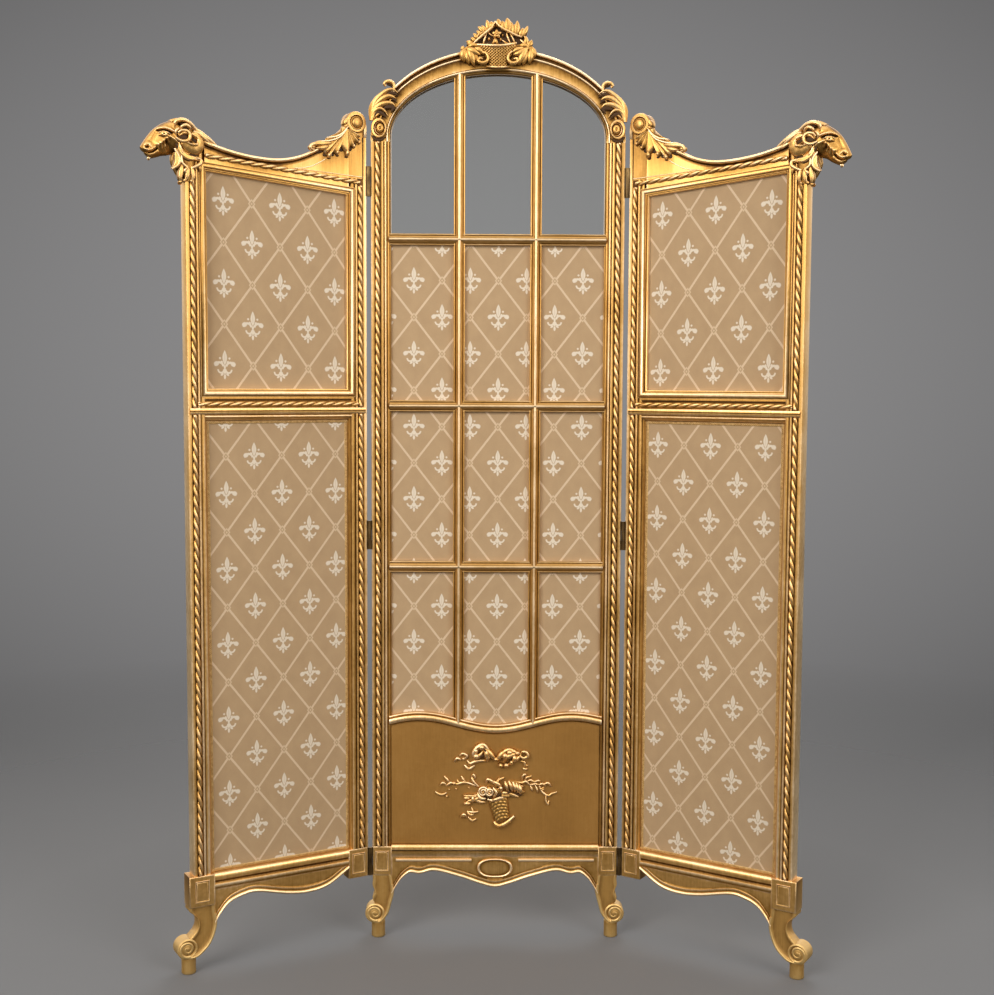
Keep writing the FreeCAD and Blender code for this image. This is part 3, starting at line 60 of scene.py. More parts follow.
# bench sizes in millimetres
THICK = 28.0
HALF_WIDTH, SIGHT = 251.0, 212.0
SIDE_EDGE, SIDE_SIGHT, OUTER_SIGHT, OUTER_EDGE = 4.3, 42.3, 331.3, 369.3
STILE_FOOT, BLOCK_FOOT, STILE_TOP = 192.0, 132.0, 1612.0
INNER_SPRING, INNER_RISE, OUTER_RISE = 1623.0, 121.0, 180.0
BARS = (769.0, 1093.0, 1422.5)
HINGE_HEIGHTS = (162.0, 834.0, 1534.0)
MUNTIN = 76.0
ROPE_RADIUS, ROPE_INSET, ROPE_LEAD = 5.25, 13.5, 42.0
MID_FOOT, MID_TOP, HEAD_FOOT = 1066.0, 1123.0, 1538.0
REPEAT_X, REPEAT_Z = 56.2, 72.8
ARCH_BREADTH = 45.0
WAVE_MIDDLE, WAVE_RISE, WAVE_LENGTH, WAVE_HALF = 448.0, 13.0, 310.0, 9.75
RAIL_FOOT, RAIL_TOP, SIDE_RAIL_FOOT = 171.0, 196.0, 160.0
INNER_BLOCK, OUTER_BLOCK, OUTER_BLOCK_END = SIDE_EDGE + 43.0, 329.0, 379.0
BAND_FOOT, BAND_TOP, CROSS_ROPE = 1078.0, 1090.0, 1097.5
TOP_FOOT, TOP_SLOPE = 1508.5, 0.085
DIP_X, DIP_Z = 203.0, 1562.0
HINGE_STILE_TOP, OUTER_STILE_TOP = 1626.0, 1568.0
NAPE_X, NAPE_Z = 365.0, 1570.0
ROLL_Z = 52.0
CLOTH_DEPTH, CENTRE_CLOTH_DEPTH, CLOTH_THICK, CLOTH_TOP = 12.2, 14.5, 1.2, 1433.7
# room round ropes, braid and cloth, and how far a stile's arris stands inside the leaf's edge
SLIP, ARRIS = 0.3, 0.15


def on_leaf(leaf, points):
    """Leaf millimetres to frame metres: x takes the leaf's sign, then turns with y about the hinge line."""
    way, hinge, turn = PLACES[leaf]
    p = np.asarray(points, float) / 1000
    x, y = way * p[..., 0], p[..., 1]
    c, s = math.cos(turn), math.sin(turn)
    return np.stack((hinge + c * x - s * y, HINGE_Y + s * x + c * y, p[..., 2]), -1)


class Form:
    """Points with faces over them; forms add up into one piece."""

    def __init__(self, points, faces):
        self.points = np.asarray(points, float).reshape(-1, 3)
        self.faces = faces

    def __add__(self, other):
        shift = len(self.points)
        moved = [[i + shift for i in face] for face in other.faces]
        return Form(np.vstack((self.points, other.points)), self.faces + moved)


def gathered(forms):
    """One form out of many."""
    shifts = np.cumsum([0] + [len(form.points) for form in forms])
    faces = [[i + int(shift) for i in face] for form, shift in zip(forms, shifts) for face in form.faces]
    return Form(np.vstack([form.points for form in forms]), faces)


def skin(points, across=False, along=False):
    """Quads over a grid of points; across or along joins its last column or row to the first."""
    rows, columns = points.shape[:2]
    index = np.arange(rows * columns).reshape(rows, columns)
    if along:
        index = np.vstack((index, index[:1]))
    if across:
        index = np.hstack((index, index[:, :1]))
    quads = np.stack((index[:-1, :-1], index[1:, :-1], index[1:, 1:], index[:-1, 1:]), -1)
    return Form(points, quads.reshape(-1, 4).tolist())


def capped(rings):
    """A tube through closed rings with a face over each end."""
    form = skin(rings, across=True)
    rows, columns = rings.shape[:2]
    form.faces.append(list(range(columns)))
    form.faces.append(list(range((rows - 1) * columns, rows * columns)))
    return form


def shell(front, back):
    """Two grids of one size, one behind the other, closed along all their edges."""
    rows, columns = front.shape[:2]
    form = skin(np.concatenate((front, back[:, ::-1]), axis=1), across=True)
    near = np.arange(columns)
    far = 2 * columns - 1 - near
    for row in (0, rows - 1):
        a, b = row * 2 * columns + near, row * 2 * columns + far
        form.faces += np.stack((a[:-1], a[1:], b[1:], b[:-1]), -1).tolist()
    return form


def xyz(x, y, z):
    """Three arrays spread to one shape and stacked as points."""
    return np.stack(np.broadcast_arrays(np.asarray(x, float), y, z), -1)


def circle(count):
    """Angles of so many points round a circle."""
    return np.linspace(0, 2 * math.pi, count, endpoint=False)


def unit(value):
    """A number held between 0 and 1."""
    return np.clip(value, 0, 1)


def dome(r):
    """The height of a round dome at a share of its radius, and 0 outside it."""
    return np.sqrt(unit(1 - r ** 2))


def smooth(points, count):
    """A smooth line through points: cubics whose slope at a point is half its neighbours' difference."""
    p = np.asarray(points, float)
    wide = np.vstack((2 * p[0] - p[1], p, 2 * p[-1] - p[-2]))
    t = np.linspace(0, len(p) - 1, count)
    i = np.minimum(t.astype(int), len(p) - 2)
    f = (t - i)[:, None]
    a, b, c, e = wide[i], wide[i + 1], wide[i + 2], wide[i + 3]
    square, cube = 2 * a - 5 * b + 4 * c - e, 3 * b - a - 3 * c + e
    return 0.5 * (2 * b + (c - a) * f + square * f ** 2 + cube * f ** 3)


def sides_of(path):
    """A line's side way in the leaf's plane and its way out of it, of length 1 at each point."""
    run = np.gradient(path, axis=0)
    run /= np.linalg.norm(run, axis=1)[:, None]
    side = np.stack((-run[:, 2], 0 * run[:, 0], run[:, 0]), -1)
    side /= np.linalg.norm(side, axis=1)[:, None] + 1e-9
    return side, np.cross(side, run)


def cane(path, radius, sides=10, flat=1.0):
    """A round stem: rings of the given radius square to a line, flattened towards the leaf by flat."""
    path = np.asarray(path, float)
    side, out = sides_of(path)
    turn = circle(sides)
    r = np.broadcast_to(radius, len(path))[:, None, None]
    round_it = np.cos(turn)[:, None] * side[:, None] + flat * np.sin(turn)[:, None] * out[:, None]
    return capped(path[:, None] + r * round_it)


def button(x, z, y, wide, tall, lift, turn=0.0, sides=20, sink=1.5):
    """A domed oval: seven rings that shrink to its crown along a quarter circle."""
    r = np.sin(np.linspace(0.5 * math.pi, 0.04, 7))
    a = circle(sides)
    flat_x, flat_z = wide * np.cos(a), tall * np.sin(a)
    c, s = math.cos(turn), math.sin(turn)
    px, pz = c * flat_x - s * flat_z, s * flat_x + c * flat_z
    face = xyz(x + r[:, None] * px, y - lift * np.sqrt(1 - r ** 2)[:, None], z + r[:, None] * pz)
    base = xyz(x + px, y + sink, z + pz)[None]
    return capped(np.concatenate((base, face)))


def scroll(x, z, y, reach, turns, start, thick, count=60, proud=0.0, flat=1.0):
    """A spiral ridge that winds in from its reach, thinning as it goes and rising towards its eye."""
    eye = 0.12
    s = np.linspace(0, 1, count)
    a = start + 2 * math.pi * turns * s
    r = reach * (1 - (1 - eye) * s)
    path = xyz(x + r * np.cos(a), y - proud * s, z + r * np.sin(a))
    return cane(path, thick * (1 - 0.45 * s), sides=8, flat=flat)


def straight(outline, start, end):
    """A closed outline of points carried straight between two places, given as shifts of x, y and z."""
    outline = np.asarray(outline, float)
    return capped(np.stack((outline + np.asarray(start, float), outline + np.asarray(end, float))))


def upright_bar(section, foot, top):
    """A section in x and y carried up from foot to top."""
    flat = np.asarray(section, float)
    return straight(xyz(flat[:, 0], flat[:, 1], 0.0), (0, 0, foot), (0, 0, top))


def level_bar(section, start, end):
    """A section in z and y carried along x."""
    flat = np.asarray(section, float)
    return straight(xyz(0.0, flat[:, 1], flat[:, 0]), (start, 0, 0), (end, 0, 0))


def stacked(rings):
    """A solid through flat outlines of one count of points, each at its own depth."""
    return capped(np.stack([xyz(ring[:, 0], depth, ring[:, 1]) for ring, depth in rings]))


def slab(x0, x1, z0, z1, front, back, ease=0.8):
    """A block with softened front edges: an inset front face over a slightly larger body."""
    corners = np.array([(x0, z0), (x1, z0), (x1, z1), (x0, z1)])
    middle = corners.mean(0)
    inward = -np.sign(corners - middle)
    rings = [(3.0, back), (0.0, back), (0.0, back - 3), (0.0, front + ease + 3), (0.0, front + ease),
             (0.3 * ease, front + 0.3 * ease), (ease, front), (ease + 2.2, front)]
    return stacked([(corners + step * inward, depth) for step, depth in rings])


def framed(corners, profile):
    """A profile of (distance outwards, depth) points carried round a closed outline with mitred corners."""
    p = np.asarray(corners, float)
    edge = np.roll(p, -1, 0) - p
    edge /= np.linalg.norm(edge, axis=1)[:, None]
    normal = np.stack((edge[:, 1], -edge[:, 0]), -1)
    before = np.roll(normal, 1, 0)
    mitre = (normal + before) / (1 + (normal * before).sum(1))[:, None]
    flat = np.asarray(profile, float)
    spot = p[:, None] + flat[None, :, :1] * mitre[:, None]
    return skin(xyz(spot[..., 0], flat[None, :, 1], spot[..., 1]), across=True, along=True)


def rope(start, end, way):
    """A half-round bead carved as a two-strand twist: broad strands between two narrow grooves that wind once
    round in each lead, and ends that round over."""
    (x0, z0), (x1, z1) = start, end
    length = math.hypot(x1 - x0, z1 - z0)
    run, side = np.array([x1 - x0, z1 - z0]) / length, np.array([-(z1 - z0), x1 - x0]) / length
    s = np.linspace(0, length, max(int(length / 1.2), 8))[:, None]
    a = np.linspace(0, math.pi, 15)[None, :]
    strand = np.abs(np.sin(a + way * 2 * math.pi * s / ROPE_LEAD))
    r = ROPE_RADIUS * (0.3 + 0.7 * strand ** 0.55)
    r = r * unit(np.minimum(s, length - s) / 2.5 + 0.25) ** 0.5
    across, out = r * np.cos(a), r * np.sin(a)
    flat = np.array([x0, z0]) + s[..., None] * run + across[..., None] * side
    front = xyz(flat[..., 0], -out, flat[..., 1])
    back = front[:, [0, -1]].copy()
    back[..., 1] = 1.2
    return capped(np.concatenate((front, back[:, ::-1]), axis=1))


def wear_and_shade_tone(mesh):
    """How far each point stands above the mean of its near neighbours along its normal, from 0 in hollows to
    1 on edges, then softened once over the neighbours. As tone it brightens edges like gilding gone thin with
    use and paints shade into the hollows."""
    count = len(mesh.vertices)
    place, normal = np.empty(count * 3), np.empty(count * 3)
    mesh.vertices.foreach_get("co", place)
    mesh.vertex_normals.foreach_get("vector", normal)
    place, normal = place.reshape(-1, 3), normal.reshape(-1, 3)
    ends = np.empty(len(mesh.edges) * 2, np.int32)
    mesh.edges.foreach_get("vertices", ends)
    a, b = ends.reshape(-1, 2).T
    weight = 1 / (((place[a] - place[b]) ** 2).sum(1) + 1e-10)
    total = np.bincount(a, weight, count) + np.bincount(b, weight, count) + 1e-9
    sums = [np.bincount(a, weight * place[b, k], count) + np.bincount(b, weight * place[a, k], count)
            for k in range(3)]
    mean = np.stack(sums, -1) / total[:, None]
    near = np.sqrt((np.bincount(a, minlength=count) + np.bincount(b, minlength=count)) / total)
    lift = ((place - mean) * normal).sum(1) / (near + 1e-9)
    tone = unit(0.5 + 1.5 * lift)
    spread = np.bincount(a, weight * tone[b], count) + np.bincount(b, weight * tone[a], count)
    tone = 0.6 * tone + 0.4 * spread / total
    mesh.attributes.new("tone", "FLOAT", "POINT").data.foreach_set("value", tone.astype(np.float32))


# leaf, mesh, bench points and the light painted over the whole of every piece made here, shade where negative
CARVED = []


def blurred(grid, reach=4):
    """A grid averaged twice over a few cells each way."""
    for axis in (0, 0, 1, 1):
        grid = sum(np.roll(grid, step, axis) for step in range(-reach, reach + 1)) / (2 * reach + 1)
    return grid


def paint_depth_shading():
    """Paints light and shade into the tone by depth. On each face of a leaf the points of its pieces go on a
    grid of 1 mm cells that keep the foremost depth. The mean depth round a point less its own depth paints
    shade into hollows and a little light onto what stands proud, and counts for nothing far inside the leaf.
    Each piece's own painted light is added last, shade where it is negative."""
    margin, empty = 12, 99.0
    span, darkest, lightest = 12.0, -0.28, 0.1
    for leaf in PLACES:
        group = [entry[1:] for entry in CARVED if entry[0] == leaf]
        points = np.concatenate([points for _, points, _ in group])
        depth = np.minimum(points[:, 1], THICK - points[:, 1])
        cells = np.floor(points[:, [0, 2]] - points[:, [0, 2]].min(0)).astype(int) + margin
        shift = np.zeros(len(points))
        for face in (points[:, 1] < THICK / 2, points[:, 1] >= THICK / 2):
            at = tuple(cells[face].T)
            front = np.full(cells.max(0) + 2 * margin, empty)
            np.minimum.at(front, at, depth[face])
            known = (front < empty).astype(float)
            mean = blurred(front * known) / np.maximum(blurred(known), 1e-6)
            shift[face] = mean[at] - depth[face]
        shift = np.clip(shift / span, darkest, lightest) * unit((11 - depth) / 5)
        start = 0
        for mesh, own, painted_brightness in group:
            tone = np.empty(len(own), np.float32)
            mesh.attributes["tone"].data.foreach_get("value", tone)
            tone = unit(tone + shift[start:start + len(own)] + painted_brightness)
            mesh.attributes["tone"].data.foreach_set("value", tone.astype(np.float32))
            start += len(own)


def piece(name, leaf, form, finish, *nodes, slot="gilt_wood", sharp=46, uv=None, painted_brightness=0.0):
    """Makes one object of a form on its leaf, faces outwards, and ties it to the leaf's body and to the nodes
    that it stands for. Its last argument paints light over the whole piece, and a negative one paints shade
    over it."""
    mesh = bpy.data.meshes.new(name)
    mesh.from_pydata(on_leaf(leaf, form.points).tolist(), [], form.faces)
    work = bmesh.new()
    work.from_mesh(mesh)
    bmesh.ops.recalc_face_normals(work, faces=work.faces)
    work.to_mesh(mesh)
    work.free()
    if uv is not None:
        corner = np.empty(len(mesh.loops), np.int32)
        mesh.loops.foreach_get("vertex_index", corner)
        mesh.uv_layers.new(name="cloth").data.foreach_set("uv", uv[corner].astype(np.float32).ravel())
    mesh.polygons.foreach_set("use_smooth", np.ones(len(mesh.polygons), bool))
    mesh.set_sharp_from_angle(angle=math.radians(sharp))
    wear_and_shade_tone(mesh)
    CARVED.append((leaf, mesh, form.points, painted_brightness))
    mesh.materials.append(finish)
    made = bpy.data.objects.new(name, mesh)
    scene.collection.objects.link(made)
    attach(made, leaf + "_leaf")
    if nodes:
        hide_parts(*nodes)
    return made


class Wire:
    """A number inside a material: arithmetic on it adds maths nodes."""

    def __init__(self, socket):
        self.socket = socket

    def step(self, operation, *others, clamp=False):
        """The outcome of a maths node over this number and others."""
        node = self.socket.id_data.nodes.new("ShaderNodeMath")
        node.operation = operation
        node.use_clamp = clamp
        for place, value in enumerate((self,) + others):
            give(node, place, value)
        return Wire(node.outputs[0])

    def __add__(self, other):
        return self.step("ADD", other)

    def __sub__(self, other):
        return self.step("SUBTRACT", other)

    def __mul__(self, other):
        return self.step("MULTIPLY", other)

    def __truediv__(self, other):
        return self.step("DIVIDE", other)

    def size(self):
        return self.step("ABSOLUTE")

    def least(self, other):
        return self.step("MINIMUM", other)

    def most(self, other):
        return self.step("MAXIMUM", other)

    def power(self, other):
        return self.step("POWER", other)

    def below(self, limit, soft):
        """1 where the number is under the limit, 0 over it, with a soft edge."""
        return ((self - limit) * (-1 / soft)).step("ADD", 0.5, clamp=True)


def give(node, name, value):
    """Sets a node's input to a plain value, or feeds it from a socket or a number inside the material."""
    place = node.inputs[name]
    if isinstance(value, Wire):
        value = value.socket
    if isinstance(value, bpy.types.NodeSocket):
        place.id_data.links.new(value, place)
    else:
        place.default_value = value


def new_material(name):
    """A material with a principled shader, and its node tree."""
    made = bpy.data.materials.new(name)
    made.use_nodes = True
    tree = made.node_tree
    return made, tree, tree.nodes["Principled BSDF"]


def noise(tree, vector, scale, detail=3.0, stretch=None):
    """A noise number over a place, which may be stretched first."""
    if stretch is not None:
        mapping = tree.nodes.new("ShaderNodeMapping")
        give(mapping, "Scale", stretch)
        give(mapping, "Vector", vector)
        vector = mapping.outputs["Vector"]
    node = tree.nodes.new("ShaderNodeTexNoise")
    give(node, "Scale", scale)
    give(node, "Detail", detail)
    give(node, "Vector", vector)
    return Wire(node.outputs["Fac"])


def ramp(tree, number, stops):
    """Colours along a number."""
    node = tree.nodes.new("ShaderNodeValToRGB")
    band = node.color_ramp
    while len(band.elements) < len(stops):
        band.elements.new(0.5)
    for element, (place, colour) in zip(band.elements, stops):
        element.position = place
        element.color = (*colour, 1)
    give(node, "Fac", number)
    return node.outputs["Color"]


def blended(tree, share, first, second):
    """A colour between two, each a socket or a plain colour."""
    node = tree.nodes.new("ShaderNodeMix")
    node.data_type = "RGBA"
    give(node, "Factor", share)
    for place, colour in ((6, first), (7, second)):
        give(node, place, (*colour, 1) if isinstance(colour, tuple) else colour)
    return node.outputs[2]


def bumped(tree, shader, height, strength, distance):
    """Gives the shader a fine relief."""
    node = tree.nodes.new("ShaderNodeBump")
    give(node, "Strength", strength)
    give(node, "Distance", distance)
    give(node, "Height", height)
    give(shader, "Normal", node.outputs["Normal"])


def object_place(tree):
    """The place on the object, in metres, for noises."""
    return tree.nodes.new("ShaderNodeTexCoord").outputs["Object"]


def gilding(name, stops, metal, rough, grain=(1, 1, 0.05), tone=True):
    """Gold leaf over carved wood, coloured along the tone: bright on edges and brown in hollows, partly as
    the wear and toning of old gilding and partly as painted light and shade; clouded by two noises, with a
    faint brushed grain that runs up the piece."""
    made, tree, shader = new_material(name)
    place = object_place(tree)
    cloud = noise(tree, place, 11, 4)
    speck = noise(tree, place, 160, 3)
    brush = noise(tree, place, 420, 2, grain)
    level = cloud * 0.34 + speck * 0.16 + brush * 0.2
    if tone:
        # the tone: edge wear, with painted light and shade by depth
        wear_and_shade = tree.nodes.new("ShaderNodeAttribute")
        wear_and_shade.attribute_name = "tone"
        level = level + Wire(wear_and_shade.outputs["Fac"]) - 0.35
    else:
        level = level + 0.15
    give(shader, "Base Color", ramp(tree, level, stops))
    give(shader, "Metallic", metal)
    give(shader, "Specular IOR Level", 0.28)
    dull = (speck * 0.22 + (cloud - 0.5) * 0.12 + rough - 0.1).step("MAXIMUM", 0.12)
    give(shader, "Roughness", dull)
    bumped(tree, shader, brush * 0.6 + speck * 0.6, 0.22, 0.0004)
    return made


def oval_mark(x, y, cx, cy, wide, tall, turn=0.0, soft=0.35):
    """1 inside a turned oval, 0 outside."""
    c, s = math.cos(turn), math.sin(turn)
    a = ((x - cx) * c + (y - cy) * s) / wide
    b = ((y - cy) * c - (x - cx) * s) / tall
    return (a * a + b * b).step("SQRT").below(1.0, soft)


def arc_mark(x, y, cx, cy, radius, half, soft=0.8):
    """1 along a ring of a given radius, 0 elsewhere."""
    away = ((x - cx) * (x - cx) + (y - cy) * (y - cy)).step("SQRT")
    return (away - radius).size().below(half, soft)


def woven_cloth(name, ground, line, flower):
    """The brocade: a diamond trellis with ring knots at its crossings and a fleur-de-lis in each diamond.
    The cloth's own coordinates count half repeats. Each point is carried to the diamond that holds it, and
    the flower is a union of ovals and arcs drawn there in millimetres, mirrored about its stem."""
    made, tree, shader = new_material(name)
    uv = tree.nodes.new("ShaderNodeUVMap")
    uv.uv_map = "cloth"
    split = tree.nodes.new("ShaderNodeSeparateXYZ")
    give(split, 0, uv.outputs["UV"])
    i, j = Wire(split.outputs["X"]), Wire(split.outputs["Y"])
    a, b = (i + j) * 0.5, (i - j) * 0.5
    a, b = a - a.step("ROUND"), b - b.step("ROUND")
    side, up = a + b, a - b
    x, y = side.size() * REPEAT_X, up * REPEAT_Z
    wobble = noise(tree, uv.outputs["UV"], 30, 2)
    edge = (side.size() + up.size()) * -1 + 1
    edge_mm = edge * 44.5 + (wobble - 0.5) * 1.2
    lines = edge_mm.below(2.0, 0.8) * 0.9 - edge_mm.below(0.45, 0.5) * 0.2
    knot_a = (x * -1 + REPEAT_X) / 7.2 + y.size() / 8.8
    knot_b = x / 7.2 + (y.size() * -1 + REPEAT_Z) / 8.8
    knot = knot_a.least(knot_b)
    lines = lines * (knot.below(0.92, 0.1) * -1 + 1)
    ring = (knot - 0.8).size().below(0.2, 0.14).most(knot.below(0.3, 0.12))
    marks = [
        (x - ((y - 12.5).size() / 13.6).power(1.7) * -4.6 - 4.6).below(0.0, 1.0),
        arc_mark(x, y, 10.6, -3.6, 7.4, 2.1) * (y * -1).below(3.2, 1.2),
        oval_mark(x, y, 16.4, 1.4, 5.0, 4.2, -0.3),
        oval_mark(x, y, 5.6, 5.0, 2.4, 1.5, 0.8),
        oval_mark(x, y, 9.2, 11.4, 2.0, 2.0, 0.0, 0.6),
        oval_mark(x, y, 0.0, -4.0, 2.1, 3.4),
        arc_mark(x, y, 7.6, -9.0, 5.6, 1.6) * y.below(-8.6, 1.2),
        oval_mark(x, y, 0.0, -11.5, 3.0, 5.2),
        oval_mark(x, y, 5.4, -17.6, 3.4, 2.0, -0.6),
        oval_mark(x, y, 0.0, -21.4, 2.2, 4.6),
    ]
    bloom = marks[0]
    for mark in marks[1:]:
        bloom = bloom.most(mark)
    vein = x.size().below(0.7, 0.8) * (y - 13).size().below(8, 2)
    bloom = bloom * (vein * -0.3 + 1)
    thread_u = (i * (REPEAT_X * 2 * math.pi / 1.1)).step("SINE")
    thread_v = (j * (REPEAT_Z * 2 * math.pi / 1.1)).step("SINE")
    weave = thread_u * thread_v
    shade = noise(tree, uv.outputs["UV"], 2.1, 3)
    slub = noise(tree, uv.outputs["UV"], 9, 2, (1, 26, 1))
    cloth = blended(tree, shade * 0.7 + slub * 0.5 + weave * 0.06 - 0.1, ground[0], ground[1])
    cloth = blended(tree, lines.most(ring * 0.75), cloth, line)
    cloth = blended(tree, bloom * 0.95, cloth, flower)
    give(shader, "Base Color", cloth)
    give(shader, "Roughness", bloom * -0.18 + lines * -0.1 + 0.78)
    give(shader, "Sheen Weight", 0.25)
    give(shader, "Sheen Roughness", 0.4)
    bumped(tree, shader, weave * 0.3 + bloom * 0.9 + lines * 0.6 + slub * 0.2, 0.35, 0.0006)
    return made


def braid(name):
    """Gimp: two gold threads plaited on a brown ground, bright where a thread comes over."""
    made, tree, shader = new_material(name)
    place = object_place(tree)
    fleck = noise(tree, place, 240, 3)
    # the tone makes the raised threads gold and the ground brown, and paints shade into the hollows between
    # them
    wear_and_shade = tree.nodes.new("ShaderNodeAttribute")
    wear_and_shade.attribute_name = "tone"
    level = Wire(wear_and_shade.outputs["Fac"]) + (fleck - 0.5) * 0.9
    stops = [(0.1, (0.16, 0.075, 0.018)), (0.5, (0.46, 0.25, 0.07)), (0.9, (0.78, 0.53, 0.22))]
    give(shader, "Base Color", ramp(tree, level, stops))
    give(shader, "Roughness", 0.6)
    give(shader, "Metallic", 0.25)
    bumped(tree, shader, fleck, 0.5, 0.0008)
    return made


def plain_cover(name):
    """The backs: board covered in plain cotton, a fine crossed weave with slubs and a slight cloud of age."""
    made, tree, shader = new_material(name)
    place = object_place(tree)
    cloud = noise(tree, place, 4, 4)
    warp = noise(tree, place, 300, 2, (1, 1, 0.03))
    weft = noise(tree, place, 300, 2, (0.03, 0.03, 1))
    level = cloud * 0.7 + (warp + weft - 1) * 0.6 + 0.15
    stops = [(0.2, (0.30, 0.205, 0.115)), (0.55, (0.40, 0.285, 0.165)), (0.9, (0.48, 0.36, 0.22))]
    give(shader, "Base Color", ramp(tree, level, stops))
    give(shader, "Roughness", 0.85)
    give(shader, "Sheen Weight", 0.2)
    bumped(tree, shader, warp + weft, 0.4, 0.0006)
    return made


def pane(name):
    """Clear thin glass, little mirrored, with a faint green body and a slow wave in its surface."""
    made, tree, shader = new_material(name)
    place = object_place(tree)
    give(shader, "Base Color", (0.97, 0.99, 0.98, 1))
    give(shader, "Roughness", 0.02)
    give(shader, "IOR", 1.12)
    give(shader, "Transmission Weight", 1.0)
    bumped(tree, shader, noise(tree, place, 9, 2), 0.03, 0.001)
    return made


def old_brass(name):
    """Hinges: brass gone brown, polished brighter in specks by use, with a fine drawn grain."""
    made, tree, shader = new_material(name)
    place = object_place(tree)
    cloud = noise(tree, place, 40, 4)
    drawn = noise(tree, place, 500, 2, (1, 1, 0.04))
    stops = [(0.3, (0.05, 0.028, 0.011)), (0.55, (0.13, 0.08, 0.03)), (0.8, (0.30, 0.20, 0.08))]
    give(shader, "Base Color", ramp(tree, cloud * 0.8 + drawn * 0.25, stops))
    give(shader, "Metallic", 0.9)
    give(shader, "Roughness", drawn * 0.3 + 0.25)
    bumped(tree, shader, drawn, 0.2, 0.0003)
    return made


# places along the tone and their colours
GOLD = [
    (0.08, (0.050, 0.019, 0.004)), (0.28, (0.18, 0.080, 0.015)), (0.48, (0.45, 0.230, 0.052)),
    (0.68, (0.66, 0.375, 0.118)), (0.95, (0.95, 0.71, 0.43)),
]
# the gold darkened for the level glazing bars: painted shade that holds down the light on their upper slopes
SHADED_BAR_GOLD = [(at, tuple(0.74 * part for part in colour)) for at, colour in GOLD]
# a darker, duller gold for the legs and pegs: painted shade low down by the floor
SHADED_LEG_GOLD = [(0.1, (0.19, 0.090, 0.020)), (0.5, (0.47, 0.255, 0.066)), (0.95, (0.66, 0.44, 0.17))]
DADO_GOLD = [(0.2, (0.285, 0.133, 0.029)), (0.5, (0.38, 0.185, 0.042)), (0.85, (0.47, 0.25, 0.068))]
# near black brown gilt for the dark pieces set in deep hollows: painted shade, with the brown of toned
# gilding
HOLLOW_GOLD = [(0.2, (0.030, 0.011, 0.002)), (0.8, (0.095, 0.042, 0.010))]
GROUND = ((0.405, 0.258, 0.130), (0.555, 0.370, 0.198))
gilt = gilding("gilt_carving", GOLD, 0.82, 0.39)
shaded_leg_gilt = gilding("gilt_leg_shaded", SHADED_LEG_GOLD, 0.5, 0.45)
shaded_gilt = gilding("gilt_hollow_shade", HOLLOW_GOLD, 0.2, 0.6, tone=False)
shaded_bar_gilt = gilding("gilt_glazing_bar_shaded", SHADED_BAR_GOLD, 0.7, 0.4, grain=(0.05, 1, 1))
dull_gilt = gilding("gilt_dado", DADO_GOLD, 0.4, 0.46, tone=False)
cloth = woven_cloth("brocade", GROUND, line=(0.745, 0.555, 0.362), flower=(0.80, 0.68, 0.525))
gimp = braid("gimp_braid_thread")
cover = plain_cover("back_cotton")
clear = pane("clear_pane")
brass = old_brass("hinge_brass_aged")


# Centre leaf


# a stile's section from its edge across the bed of the twisted bead: distance in and depth
ROPE_BED = [
    (ARRIS, THICK), (ARRIS, 0.8), (0.9, 0.0), (7.2, 0.0), (7.7, 1.3), (8.4, 1.3), (18.8, 1.3), (19.4, 1.3),
]


def centre_stile(side):
    """A stile: flat edge, a bed for the twisted bead, a flat, a quirk and a bead, then steps down to the
    lights. The section gives the distance in from the leaf's edge and the depth."""
    steps = [
        *ROPE_BED, (20.0, 0.0), (24.4, 0.0), (24.9, 0.5), (25.3, 2.9), (26.2, 2.9), (26.9, 1.5), (28.4, 0.6),
        (30.0, 1.0), (31.2, 2.2), (31.7, 4.0), (33.0, 4.6), (35.2, 5.3), (36.8, 6.4), (37.2, 8.6),
        (39.0, 9.0), (39.0, THICK),
    ]
    section = [(side * (HALF_WIDTH - inward), depth) for inward, depth in steps]
    return upright_bar(section, STILE_FOOT, STILE_TOP)


def arch_moulding():
    """The arch: a profile spread between two ellipses that stand on the stiles' lines. Across it runs from a
    bold outer bead through a cove and a small bead to a flat, then an inner bead and the reveal."""
    profile = np.array([
        (0, THICK), (0, -2.2), (0.6, -3.5), (2.4, -4.0), (4.4, -3.4), (5.3, -1.4), (5.7, 0.6), (7.2, 1.9),
        (9.2, 2.0), (10.7, 1.0), (11.4, -0.6), (12.4, -1.5), (13.8, -1.5), (14.9, -0.6), (15.4, 0.9),
        (16.2, 1.1), (34.2, 1.1), (34.8, 2.4), (35.4, 1.0), (36.6, 0.1), (38.2, 0.3), (39.4, 1.6),
        (39.9, 3.6), (42.6, 5.0), (43.4, 8.4), (ARCH_BREADTH, 9), (ARCH_BREADTH, THICK),
    ])
    a = np.linspace(0, math.pi, 121)[:, None]
    share = (profile[:, 0] / ARCH_BREADTH)[None, :]
    outer_x, outer_z = HALF_WIDTH * np.cos(a), STILE_TOP + OUTER_RISE * np.sin(a)
    inner_x, inner_z = SIGHT * np.cos(a), INNER_SPRING + INNER_RISE * np.sin(a)
    x, z = outer_x * (1 - share) + inner_x * share, outer_z * (1 - share) + inner_z * share
    foot_x, foot_z = x[[0, -1]], np.full_like(z[[0, -1]], STILE_TOP - 0.02)
    x = np.vstack((foot_x[:1], x, foot_x[1:]))
    z = np.vstack((foot_z[:1], z, foot_z[1:]))
    proud = unit((z - STILE_TOP - 60) / 30)
    depth = np.where(profile[None, :, 1] < 0, profile[None, :, 1] * proud, profile[None, :, 1])
    return capped(xyz(x, depth, z))


